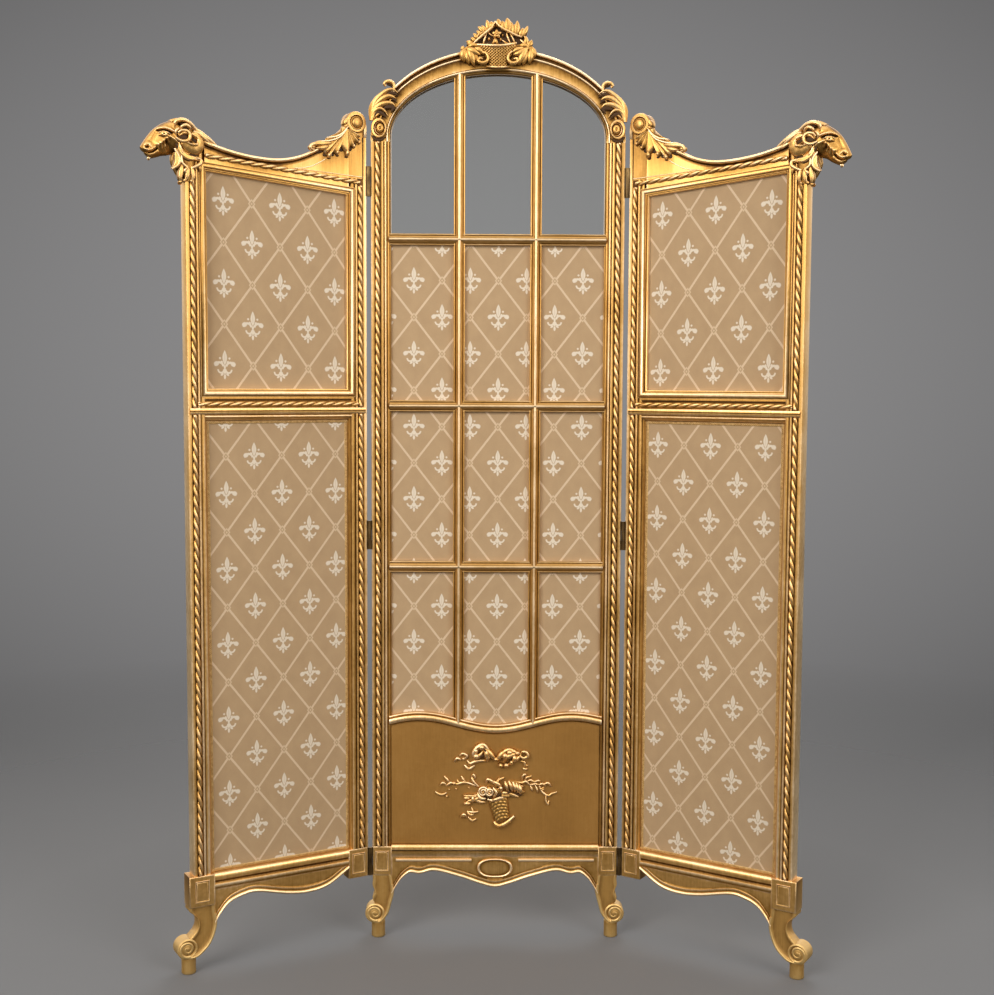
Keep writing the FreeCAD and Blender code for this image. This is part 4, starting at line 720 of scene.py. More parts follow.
BAR_SECTION = [
    (-11.25, 14), (-11.25, 6.6), (-10.7, 5.8), (-9.6, 5.4), (-8.7, 5.6), (-8.2, 6.3), (-7.7, 5.4),
    (-5.6, 3.7), (-3.5, 2.1), (-3.1, 2.4), (-2.5, 0.9), (-1.3, 0.15), (1.3, 0.15), (2.5, 0.9), (3.1, 2.4),
    (3.5, 2.1), (5.6, 3.7), (7.7, 5.4), (8.2, 6.3), (8.7, 5.6), (9.6, 5.4), (10.7, 5.8), (11.25, 6.6),
    (11.25, 14),
]


def wave(x):
    """The serpentine rail's middle line."""
    return WAVE_MIDDLE - WAVE_RISE * np.cos(2 * math.pi * np.asarray(x, float) / WAVE_LENGTH)


def muntin_bars():
    """Two upright glazing bars from the serpentine rail into the arch."""
    top = INNER_SPRING + INNER_RISE * math.sqrt(1 - (MUNTIN / SIGHT) ** 2) + 7
    forms = []
    for side in (-1, 1):
        section = [(side * MUNTIN + across, depth) for across, depth in BAR_SECTION]
        forms.append(upright_bar(section, float(wave(MUNTIN)), top))
    return gathered(forms)


def cross_bars():
    """Three rows of glazing bars that run through the muntins, so that their slopes meet in mitres."""
    rows = []
    for height in BARS:
        section = [(height + across, depth) for across, depth in BAR_SECTION]
        rows.append(level_bar(section, -SIGHT - 3, SIGHT + 3))
    return gathered(rows)


def serpentine_rail():
    """The waved rail: a bead between two fillets carried along the wave."""
    profile = np.array([
        (-WAVE_HALF, THICK), (-WAVE_HALF, 6.5), (-9.0, 5.6), (-7.2, 5.2), (-6.6, 3.2), (-5.4, 1.2),
        (-2.6, 0.1), (0.6, 0.0), (3.2, 0.9), (4.6, 2.4), (5.0, 4.2), (5.6, 3.4), (8.6, 2.6), (WAVE_HALF, 3.4),
        (WAVE_HALF, THICK),
    ])
    x = np.linspace(-SIGHT - 4, SIGHT + 4, 97)[:, None]
    slope = WAVE_RISE * 2 * math.pi / WAVE_LENGTH * np.sin(2 * math.pi * x / WAVE_LENGTH)
    lean = np.sqrt(1 + slope ** 2)
    return capped(xyz(x + 0 * profile[None, :, 0], profile[None, :, 1], wave(x) + profile[None, :, 0] * lean))


def bottom_rail(start, end, foot, top, beads):
    """A rail with a plain face under beads, given as the drop from its top and the depth."""
    section = [(foot, THICK), (foot, 1.0), (foot + 0.8, 0.2)]
    section += [(top - drop, depth) for drop, depth in beads]
    section += [(top, 6.5), (top, THICK)]
    return level_bar(section, start, end)


def edged_board(low, top, start, end, count=160):
    """An apron: a board from a shaped lower edge up to a straight top. Its face is worked by distance from
    the edge: a bead, a quirk, a second faint line that follows the edge, then the flat."""
    front, back = 2.0, 24.0
    x = np.linspace(start, end, count)[:, None]
    edge = low(x)
    rise = np.array([0.0, 0.0, 0.6, 2.0, 4.0, 6.0, 7.0, 7.6, 9.0, 12.4, 13.0, 13.6])[None, :]
    depth = np.array([back, -0.4, -1.5, -2.3, -2.2, -1.0, 0.6, 1.0, 0.6, 0.6, 1.4, front])[None, :]
    room = np.maximum(top - edge, 14)
    z = edge + rise * np.minimum(1, (room - 1) / 14)
    flat = z[:, -1:] + np.array([0.12, 0.4, 0.7, 0.92, 1.0])[None, :] * (top - z[:, -1:])
    z = np.concatenate((z, flat, np.full_like(edge, top)), axis=1)
    depth = np.concatenate((np.broadcast_to(depth, (count, rise.shape[1])), np.full_like(flat, front),
                            np.full_like(edge, back)), axis=1)
    return capped(xyz(x, depth, np.minimum(z, top)))


def curve_height(points):
    """A function that gives the height of a smooth line through points at any x."""
    line = smooth(points, 400)
    order = np.argsort(line[:, 0])
    return lambda x: np.interp(x, line[order, 0], line[order, 1])


CENTRE_EDGE = [(30, 114), (71, 128), (123, 141), (154, 135), (174, 137), (190, 126), (200, 113), (212, 92)]
# share of the side apron's length and height over the block's foot
SIDE_EDGE_LINE = [(0, 22), (0.16, -5), (0.31, -12), (0.47, -7), (0.69, 8), (0.8, 6), (0.895, -4),
                  (0.965, -24), (1, -40)]


def centre_apron():
    """The centre apron with its oval cartouche in a raised border, and the raised fillets beside it."""
    points = [(-x, z) for x, z in reversed(CENTRE_EDGE)] + [(0, 107)] + CENTRE_EDGE
    forms = [edged_board(curve_height(points), RAIL_FOOT, -SIGHT, SIGHT, count=220)]
    a = circle(64)
    c, s = np.cos(a), np.sin(a)
    ring_x, ring_z = 36.5 * np.sign(c) * np.abs(c) ** 0.8, 19.5 * np.sign(s) * np.abs(s) ** 0.85
    rim = np.array([(1.0, 4), (1.0, 0.6), (0.97, -1.2), (0.93, -2.0), (0.88, -1.8), (0.84, -0.6), (0.82, 0.6),
                    (0.6, 0.6), (0.2, 0.6)])
    forms.append(capped(xyz(rim[:, :1] * ring_x, rim[:, 1:], 147.5 + rim[:, :1] * ring_z)))
    fillet = [(160.5, 4), (160.5, 0.4), (161.4, -1.0), (163.6, -1.5), (165.8, -1.0), (166.7, 0.6), (166.7, 4)]
    for side in (-1, 1):
        forms.append(level_bar(fillet, side * 48, side * 203))
    return gathered(forms)


def corner_block(x0, x1, front, back, middle):
    """A corner block with a raised square whose rim stands a little above its face."""
    forms = [slab(x0, x1, BLOCK_FOOT, STILE_FOOT, front, back)]
    half_w, half_h, z = 14.0, 21.0, (BLOCK_FOOT + STILE_FOOT) / 2
    corners = [(middle - half_w, z - half_h), (middle + half_w, z - half_h), (middle + half_w, z + half_h),
               (middle - half_w, z + half_h)]
    forms.append(framed(corners, [(0, front + 2), (0, front - 0.5), (-0.5, front - 1.1), (-1.5, front - 1.1),
                                  (-2.1, front - 0.5), (-3.4, front - 0.5), (-3.4, front + 2)]))
    wide, tall = half_w - 3, half_h - 3
    forms.append(slab(middle - wide, middle + wide, z - tall, z + tall, front - 0.7, front + 8, 0.3))
    return gathered(forms)


def scroll_leg(inner, outer, roll_x, waist):
    """A scroll leg: a board between an inner and an outer curve whose face is hollowed between raised edges,
    and a roll at its foot with the inner edge's bead wound into a spiral on each face."""
    span = roll_x - inner
    inside_line = [(inner, BLOCK_FOOT), (inner - 2.5, 112), (inner - 3.5, 92), (inner + 2, 70),
                   (inner + 0.2 * span, 53), (inner + 0.42 * span, 41), (inner + 0.64 * span, 33.5),
                   (inner + 0.86 * span, 32)]
    inside = smooth(inside_line, 40)
    outside = smooth([(outer, BLOCK_FOOT), (outer - 1, 124), (waist + 4, 112), (waist, 98), (waist + 4, 84),
                      (roll_x - 4, ROLL_Z + 17)], 40)
    t = np.array([0, 0, 0.03, 0.08, 0.13, 0.17, 0.3, 0.5, 0.7, 0.83, 0.87, 0.92, 0.97, 1, 1])[None, :]
    depth = np.array([14, 1.2, 0.2, -0.4, 0.1, 1.6, 2.2, 1.8, 2.2, 1.6, 0.3, -0.2, 0.2, 1.2, 14])[None, :]
    flat = inside[:, None] * (1 - t[..., None]) + outside[:, None] * t[..., None]
    front = xyz(flat[..., 0], depth, flat[..., 1])
    back = front.copy()
    back[..., 1] = THICK - front[..., 1]
    forms = [shell(front[:, 1:-1], back[:, 1:-1])]
    a = circle(40)
    steps = np.array([(2, 30.0), (11, 29.2), (13.5, 27.5), (17.5, 29.8), (20, 28.2), (20.0, -0.2),
                      (17.5, -1.8), (13.5, 0.5), (11, -1.2), (2, -2.0)])
    ring = xyz(roll_x + steps[:, :1] * np.cos(a), steps[:, 1:], ROLL_Z + steps[:, :1] * np.sin(a))
    forms.append(capped(ring))
    start = math.radians(-110)
    for face, way in ((-0.6, 1), (THICK + 0.6, -1)):
        forms.append(scroll(roll_x, ROLL_Z, face, 16.5, 1.6, start, 3.2, proud=way * 0.6, flat=0.6))
    forms.append(button(roll_x, ROLL_Z, -0.6, 5.5, 5.5, 2.0))
    forms.append(button(roll_x, ROLL_Z, THICK, 5.5, 5.5, -2.0, sink=-1.5))
    edge = smooth([(x + 1.6, z + 1.4) for x, z in inside_line[1:]] + [(roll_x + 3, ROLL_Z - 17)], 44)
    for face in (0.4, THICK - 0.4):
        forms.append(cane(xyz(edge[:, 0], face, edge[:, 1]), 2.6, sides=8))
    return gathered(forms)


def foot_peg(x):
    """A turned peg: a lathe profile with a rounded toe, a shallow waist and a shoulder under the roll."""
    profile = np.array([(12.0, 0), (13.4, 0.8), (13.9, 2.5), (13.7, 8), (13.6, 16), (13.8, 24), (13.9, 29),
                        (13.9, 33), (12.0, 36)])
    a = circle(32)
    return capped(xyz(x + profile[:, :1] * np.cos(a), THICK / 2 + profile[:, :1] * np.sin(a), profile[:, 1:]))


def draped_panel(foot, top, start, end, depth, origin, count, repeat=REPEAT_Z, slope=0.0):
    """A stretched sheet between a lower and an upper line: nearly flat, drawn back a little between its tacks
    along the edges. Its own coordinates count half repeats from a flower at origin, on threads that may
    slope."""
    s, t = np.linspace(0, 1, count[0])[None, :], np.linspace(0, 1, count[1])[:, None]
    x = start + (end - start) * s + 0 * t
    low, high = foot(x), top(x)
    z = low + (high - low) * t
    pull = 0.25 * np.sin(x / 9) * np.exp(-np.minimum(t, 1 - t) * 25)
    pull = pull + 0.2 * np.sin(z / 11) * np.exp(-np.minimum(s, 1 - s) * 14)
    front = xyz(x, depth + pull, z)
    back = front.copy()
    back[..., 1] += CLOTH_THICK
    form = shell(front, back)
    across = form.points[:, 0] - origin[0]
    uv = np.stack((across / REPEAT_X, (form.points[:, 2] - origin[1] - slope * across) / repeat), -1)
    return form, uv


def level(height):
    """A function that gives one height at any x."""
    return lambda x: np.full_like(x, height)


def cloth_foot(x):
    """The lower edge of the centre cloth, just above the serpentine rail."""
    return wave(x) + WAVE_HALF + SLIP


for name, side in (("left", -1), ("right", 1)):
    piece(f"{name}_upright", "centre", centre_stile(side), gilt, f"centre_{name}_stile")
    leg = scroll_leg(SIGHT, HALF_WIDTH, roll_x=246.0, waist=247.0)
    if side < 0:
        leg.points[:, 0] *= -1
    piece(f"{name}_scroll_foot", "centre", leg, shaded_leg_gilt, f"centre_{name}_leg")
# the arch takes painted light over the whole piece
piece("arch_moulding", "centre", arch_moulding(), gilt, "arch_rail", painted_brightness=0.13)
piece("muntin_bars", "centre", muntin_bars(), gilt, "muntins")
# the level bars take the darkened gold, painted shade
piece("cross_bars", "centre", cross_bars(), shaded_bar_gilt, "glazing_bars")
piece("waved_rail", "centre", serpentine_rail(), gilt, "serpentine_rail")
rail_beads = [(14.0, 0.2), (13.2, 1.8), (12.0, 1.8), (11.2, 0.0), (9.5, 0.0), (6.5, 0.0), (3.0, 0.8),
              (1.2, 2.4), (0.4, 4.4)]
rail = bottom_rail(-SIGHT, SIGHT, RAIL_FOOT, RAIL_TOP, rail_beads)
piece("centre_foot_rail", "centre", rail, gilt, "centre_bottom_rail")
# the apron takes painted light over the whole piece
piece("cartouche_apron", "centre", centre_apron(), gilt, "centre_apron", painted_brightness=0.12)
blocks = [corner_block(ARRIS - HALF_WIDTH, -SIGHT, 0.0, THICK, -231.5),
          corner_block(SIGHT, HALF_WIDTH - ARRIS, 0.0, THICK, 231.5)]
piece("centre_corner_blocks", "centre", gathered(blocks), gilt, "centre_blocks")
pegs = foot_peg(240.0) + foot_peg(-240.0)
piece("centre_turned_pegs", "centre", pegs, shaded_leg_gilt, "centre_foot_pegs")
rope_lines = [side * (HALF_WIDTH - ROPE_INSET) for side in (-1, 1)]
ropes = gathered([rope((x, STILE_FOOT + SLIP), (x, STILE_TOP), 1) for x in rope_lines])
piece("centre_ropes", "centre", ropes, gilt, "centre_rope_beads")

form, uv = draped_panel(cloth_foot, level(CLOTH_TOP), SLIP - SIGHT, SIGHT - SLIP, CENTRE_CLOTH_DEPTH,
                        origin=(2.0, 978.5), count=(40, 100))
centre_cloth = piece("centre_brocade", "centre", form, cloth, "centre_fabric", slot="panel_fabric", uv=uv)


# Side leaves


def side_stile(edge, inward, top):
    """A side stile: flat edge, a bed for the twisted bead, a raised strip, a flat and steps down to the
    cloth. The section gives the distance in from the edge and the depth."""
    steps = [
        *ROPE_BED, (19.9, -0.9), (20.6, -1.5), (23.4, -1.5), (24.2, -0.9), (24.8, 0.4), (26.0, 0.4),
        (27.0, -0.2), (32.4, -0.2), (33.2, 0.6), (33.7, 3.2), (35.2, 4.0), (36.8, 6.2), (37.2, 8.4),
        (38.0, 9.0), (38.0, THICK),
    ]
    section = [(edge + inward * step, depth) for step, depth in steps]
    return upright_bar(section, STILE_FOOT, top)


def stile_head():
    """The plain head of the hinge stile above the top bead: flat but for one quirk beside the leaf's edge."""
    steps = [(ARRIS, THICK), (ARRIS, 0.8), (0.9, 0.0), (6.4, 0.0), (6.9, 1.6), (8.2, 1.6), (8.8, 0.4),
             (10.4, 0.4), (36.6, 0.4), (38.1, 0.4), (38.1, THICK)]
    return upright_bar([(SIDE_EDGE + step, depth) for step, depth in steps], HEAD_FOOT, HINGE_STILE_TOP)


def board_lines():
    """Two fine beads on the crest board: one along the top bead and one that sweeps up from it."""
    along = smooth([(13, 1541), (60, 1543.2), (110, 1545.6), (154, 1548)], 30)
    swept = smooth([(78, 1578.5), (90, 1570.8), (104, 1562), (119.5, 1554.5), (136, 1550), (154, 1548)], 30)
    return gathered([cane(xyz(line[:, 0], 0.6, line[:, 1]), 1.25, sides=8) for line in (along, swept)])


def top_line(x, lift=0.0):
    """The sloping lower edge of the top rail."""
    return TOP_FOOT + (np.asarray(x, float) - SIDE_SIGHT) * TOP_SLOPE + lift


def crest_line(x):
    """The swept crest: a parabola each side of its lowest point."""
    x = np.asarray(x, float)
    inner = 78 * ((x - DIP_X) / (DIP_X - SIDE_SIGHT)) ** 2
    outer = 22 * ((x - DIP_X) / (OUTER_SIGHT - DIP_X)) ** 2
    return DIP_Z + np.where(x < DIP_X, inner, outer)


def crest_board():
    """The crest rail: a board under the sweep whose face is worked by distance from its top edge, a rounded
    lip, a cove below it and then the flat."""
    count = 120
    x = np.linspace(SIDE_SIGHT, OUTER_SIGHT, count)[:, None]
    drop = np.array([0.0, 0.0, 0.8, 2.4, 4.6, 6.2, 6.9, 8.4, 10.6, 13.0, 14.0])[None, :]
    depth = np.array([THICK, -3.4, -4.5, -5.0, -4.6, -3.0, -0.4, 1.2, 1.6, 0.8, 0.4])[None, :]
    top, foot = crest_line(x), top_line(x)
    z = np.concatenate((top - drop, foot, foot), axis=1)
    worked = np.broadcast_to(depth, (count, drop.shape[1]))
    depth = np.concatenate((worked, 0 * x + 0.4, 0 * x + THICK), axis=1)
    return capped(xyz(x, depth, z))


def mid_rail():
    """The mid rail between the stiles and the flat band, scored along its middle, that crosses the leaf."""
    face = [
        (MID_FOOT, THICK), (MID_FOOT, 9), (MID_FOOT + 0.8, 8.2), (MID_FOOT + 1.4, 5.0), (MID_FOOT + 3.4, 3.6),
        (MID_FOOT + 6.4, 1.6), (MID_FOOT + 7.2, 0.4), (MID_FOOT + 9.6, 0.4), (MID_FOOT + 10.4, 1.6),
        (MID_FOOT + 12.0, 0.0), (1103.5, 0.0), (1104.2, 1.2), (1106.0, 1.2), (1106.8, 0.0),
        (MID_TOP - 1, 0.0), (MID_TOP, 1.0), (MID_TOP, THICK),
    ]
    band = [(BAND_FOOT, 2), (BAND_FOOT, -1.8), (1078.7, -2.5), (1082.8, -2.5), (1083.5, -1.6), (1084.5, -1.6),
            (1085.2, -2.5), (1089.3, -2.5), (BAND_TOP, -1.8), (BAND_TOP, 2)]
    rail = level_bar(face, SIDE_SIGHT - 5.4, OUTER_SIGHT + 5.4)
    return rail + level_bar(band, SIDE_EDGE + 4, OUTER_EDGE - 4)


def panel_moulding():
    """The mitred frame round the upper cloth: a cove, a bold bead, a quirk and a thin slip over the cloth."""
    corners = [(SIDE_SIGHT, MID_TOP), (OUTER_SIGHT, MID_TOP), (OUTER_SIGHT, float(top_line(OUTER_SIGHT))),
               (SIDE_SIGHT, float(top_line(SIDE_SIGHT)))]
    profile = [(12, 0.3), (12, -1.2), (10.6, -1.4), (9.4, -2.4), (8.6, -4.2), (7.0, -5.0), (4.4, -5.0),
               (2.8, -4.0), (2.2, -1.6), (1.6, 1.4), (0.2, 3.4), (-0.6, 3.2), (-2.6, 3.6), (-3.4, 4.6),
               (-3.4, 11.2), (0.4, 11.2), (0.4, 0.3)]
    return framed(corners, profile)


def gimp_border():
    """The braid round the lower cloth: a flat strip whose two threads rise and fall in turn across it, the
    swing of one half a pitch behind the other."""
    x0, x1, z0, z1 = SIDE_SIGHT + SLIP, OUTER_SIGHT - SLIP, STILE_FOOT + SLIP, MID_FOOT - SLIP
    half, bed = 3.0, 11.7
    forms = []
    for start, end in (
        ((x0, z0 + half), (x1, z0 + half)), ((x1 - half, z0), (x1 - half, z1)),
        ((x1, z1 - half), (x0, z1 - half)), ((x0 + half, z1), (x0 + half, z0)),
    ):
        run = np.array(end) - np.array(start)
        length = float(np.linalg.norm(run))
        run /= length
        side = np.array([-run[1], run[0]])
        s = np.linspace(0, length, int(length / 1.1))[:, None]
        t = np.linspace(-1, 1, 9)[None, :]
        swing = 0.5 * np.sin(2 * math.pi * s / 8)
        threads = np.exp(-(((t - swing) / 0.34) ** 2)) + np.exp(-(((t + swing) / 0.34) ** 2))
        edge = 0.35 + 0.3 * np.abs(np.sin(2 * math.pi * s / 4))
        pulse = 0.7 + 0.3 * np.sin(2 * math.pi * s / 2)
        rise = 0.5 + 0.9 * np.clip(threads, 0, 1.2) * (1 - np.abs(t) ** 6) * pulse
        reach = half * t * (1 - 0.14 * (1 - edge) * np.abs(t))
        flat = np.array(start) + s[..., None] * run + reach[..., None] * side
        front = xyz(flat[..., 0], bed - rise, flat[..., 1])
        back = xyz(flat[..., 0], bed, flat[..., 1])
        forms.append(shell(front, back))
    return gathered(forms)


def side_ropes(way):
    """Twisted beads up both stiles, broken by the band, with one across above the band and one under the
    crest."""
    inner, outer = SIDE_EDGE + ROPE_INSET, OUTER_EDGE - ROPE_INSET
    end, rise, gap = OUTER_SIGHT - SLIP, 24, 5.6
    foot, below, above = STILE_FOOT + SLIP, BAND_FOOT - SLIP, BAND_TOP + SLIP
    top = float(top_line(inner, rise))
    runs = [
        ((inner, foot), (inner, below)), ((inner, above), (inner, top - gap)),
        ((outer, foot), (outer, below)), ((outer, above), (outer, 1526)),
        ((inner + gap, CROSS_ROPE), (outer - gap, CROSS_ROPE)),
        ((inner, top), (end, float(top_line(end, rise)))),
    ]
    return gathered([rope(start, end, way) for start, end in runs])


def side_apron():
    """The side apron between its corner blocks, under the rail."""
    span = OUTER_BLOCK - INNER_BLOCK
    points = [(INNER_BLOCK + share * span, BLOCK_FOOT + lift) for share, lift in SIDE_EDGE_LINE]
    return edged_board(curve_height(points), SIDE_RAIL_FOOT, INNER_BLOCK, OUTER_BLOCK)


def stroke(points, y, thick, arch=0.0):
    """A carved ridge: a stem along a line on the leaf that swells from fine ends and rises by arch midway."""
    flat_line = smooth(points, 8 * len(points))
    s = np.linspace(0, 1, len(flat_line))
    path = xyz(flat_line[:, 0], y - arch * np.sin(math.pi * s), flat_line[:, 1])
    swell = 0.3 + 0.7 * np.sin(math.pi * (0.06 + 0.88 * s)) ** 0.7
    return cane(path, thick * swell, sides=8)


def petal(points, y, width, lift, fullness=0.8, sink=3.0, count=22, across=11, groove=0.12):
    """A smooth carved leaf along a line given on the leaf's face at one depth: it swells and narrows, and its
    face is raised to a rounded crown with a groove down the middle and a faint rib beside it."""
    path = smooth([(x, y, z) for x, z in points], count)
    side, _ = sides_of(path)
    s, t = np.linspace(0, 1, count)[:, None], np.linspace(-1, 1, across)[None, :]
    swell = np.sin(math.pi * (0.06 + 0.94 * s) ** fullness) ** 0.8 + 0.02
    crown = dome(t) ** 0.8
    rib = 0.35 * groove * np.cos(2 * math.pi * np.abs(t) + 3 * s)
    height = lift * swell ** 0.6 * crown * (1 - groove * np.exp(-((t / 0.13) ** 2)) + rib)
    back = path[:, None] + (t * (width / 2 * swell))[..., None] * side[:, None]
    front = back - height[..., None] * np.array([0, 1, 0])
    back[..., 1] += sink
    return shell(front, back)


def bowed(root, tip, bow=0.0):
    """Three points from a root to a tip, the middle one shifted along x by bow."""
    return [root, ((root[0] + tip[0]) / 2 + bow, (root[1] + tip[1]) / 2), tip]


def plate(outline, front, back, ease=0.0):
    """A flat piece cut to an outline, its front a little smaller than its back by ease."""
    flat = np.asarray(outline, float)
    middle = flat.mean(0)
    inner = middle + (flat - middle) * (1 - ease)
    return stacked([(flat, back), (flat, front + 0.6 * (ease > 0)), (inner, front)])


def fan(root, edge, y, lift, sink):
    """A palmette: rays from a root to a lobed edge given as tip, notch, tip and so on. It swells between root
    and edge, with a rib along the ray to each tip and a valley along the ray to each notch."""
    valley, count, rings = 0.13, 150, 20
    rim = smooth(edge, count)
    phase = np.linspace(0, math.pi * (len(edge) - 1), count)[:, None]
    r = np.linspace(0.03, 1, rings)[None, :]
    x = root[0] + r * (rim[:, :1] - root[0])
    z = root[1] + r * (rim[:, 1:] - root[1])
    swell = np.sqrt(unit(1 - r ** 6)) * (0.7 + 0.3 * r)
    front = xyz(x, y - lift * swell * (1 - valley * (1 - np.cos(phase)) * np.minimum(1, 2.2 * r)), z)
    return shell(front, xyz(x, y + sink, z))


def other_face(form):
    """The same form on the leaf's other face."""
    points = form.points * (1, -1, 1) + (0, THICK, 0)
    return Form(points, form.faces)


def other_hand(form):
    """The same form on the other side of the middle line."""
    return Form(form.points * (-1, 1, 1), form.faces)


def ridge(x, z, points, width):
    """1 along a broken line and falling away from it as a bell of the given width."""
    nearest = np.full(np.broadcast(x, z).shape, 1e9)
    for (x0, z0), (x1, z1) in zip(points, points[1:]):
        dx, dz = x1 - x0, z1 - z0
        t = unit(((x - x0) * dx + (z - z0) * dz) / (dx * dx + dz * dz))
        nearest = np.minimum(nearest, (x - x0 - t * dx) ** 2 + (z - z0 - t * dz) ** 2)
    return np.exp(-nearest / width ** 2)


def crest_volute():
    """The volute over the hinge stile: a roll whose flat rim steps down to a groove round a domed boss, a
    barrel running to the leaf's back, and the neck and edge strip that join it to the stile."""
    x, z = 27.0, 1645.5
    a = circle(72)[None, :]
    r = np.linspace(20.7, 0.4, 46)[:, None]
    turn = ((a + 2.2) % (2 * math.pi)) / (2 * math.pi)
    bed = unit((15.2 - 1.6 * turn - r) / 1.4)
    boss = 5.2 * dome(r / 10.2)
    depth = -5.6 + 3.4 * bed + 2.4 * unit((r - 18.4) / 2.2) ** 2 - boss
    offset = 1.8 * unit((15 - r) / 4)
    face = xyz(x - offset + r * np.cos(a), depth, z - 0.4 * offset + r * np.sin(a))
    barrel = np.array([(3, 27.4), (17, 27.4), (20, 26), (21, 23.4), (20.4, 14), (21, 5), (21.0, -1.8)])
    barrel = xyz(x + barrel[:, :1] * np.cos(a), barrel[:, 1:], z + barrel[:, :1] * np.sin(a))
    neck = [(4.6, 1606), (52, 1606), (51, 1622), (46, 1634), (40, 1645), (27, 1650), (9, 1650), (5.8, 1643),
            (4.6, 1632)]
    strip = [(4.6, 1618), (10.7, 1618), (10.4, 1630), (9.6, 1640), (7.6, 1648), (6.0, 1646), (4.8, 1634)]
    roll = capped(np.concatenate((barrel, face)))
    return gathered([roll, plate(neck, 1.0, 27.2), plate(strip, -2.6, 3.0, 0.04)])


def crest_leaf():
    """The acanthus that falls from the volute along the sweep: a broad palmette whose ribs fan out from the
    root, drops at its tips, two stems over it, tufts beside the roll and a curled end."""
    edge = [(57, 1633), (63, 1618), (89, 1610.5), (84, 1604), (100, 1602.5), (93, 1597), (114, 1594),
            (99, 1588), (93, 1581), (85, 1583), (84, 1576), (77, 1584), (68, 1582), (61, 1596.5), (46, 1583),
            (40, 1598), (32, 1596.5), (31, 1607), (20.5, 1606), (25, 1614), (18, 1619), (29, 1622.5),
            (38, 1630)]
    forms = [fan((47, 1631), edge, -3.2, 5.0, sink=7)]
    for x, z, size in ((46, 1584.5, 5.4), (84.5, 1577.5, 4.6), (67.5, 1584, 3.6), (32, 1599, 3.4),
                       (20.5, 1607.5, 3.2)):
        forms.append(button(x, z, 0, 0.95 * size, 1.35 * size, 9.0, sink=3))
    forms += [
        stroke([(47, 1633), (58, 1621), (72, 1613.5), (90, 1610)], -7.0, 1.7, 1.0),
        stroke([(48, 1630), (64, 1613), (84, 1604.5), (101, 1602)], -7.6, 1.7, 1.0),
        petal([(80, 1601), (96, 1598.5), (110, 1597), (121, 1592)], -3.5, 12, 6, sink=8, groove=0.0),
        petal([(86, 1594), (100, 1590), (113, 1589)], -3, 10, 6, sink=8, groove=0.0),
        petal([(42, 1650), (47, 1647), (50, 1641), (49, 1635)], -1, 9, 5, sink=12, groove=0.0),
        petal([(44, 1640), (49, 1636), (54, 1634)], -1, 7, 5, sink=12, groove=0.0),
        button(118, 1590, 1, 7.0, 5.5, 8.5, sink=5),
        stroke([(105, 1596.5), (114, 1596.6), (122, 1592.6), (123, 1587), (116, 1584.5)], -5.0, 3.4),
    ]
    return gathered(forms)


def crest_leaf_hollows():
    """Dark ovals painted as the shade in that acanthus's hollows: in its notches, under its drops and under
    the roll.
    """
    forms = []
    for x, z, wide, tall, turn in (
        (58, 1592, 5.6, 5.2, 0.5), (38.5, 1594, 3.8, 5.0, 0.2), (76.5, 1579.5, 4.2, 3.4, 0),
        (103, 1583.5, 8.0, 3.4, -0.25), (92.5, 1577.5, 4.4, 3.2, 0.2), (28.5, 1603, 3.4, 3.4, 0.3),
        (84, 1572.5, 4.6, 2.2, 0), (47, 1577.5, 4.6, 2.4, 0), (21.5, 1612.5, 3.4, 2.6, 0),
        (34, 1621.5, 9.0, 2.6, 0.25), (66, 1578.5, 3.6, 2.2, 0), (12.5, 1612, 1.4, 6.0, 0),
    ):
        forms.append(button(x, z, 0.3, wide, tall, 0.9, turn=turn, sides=14, sink=3))
    return gathered(forms)


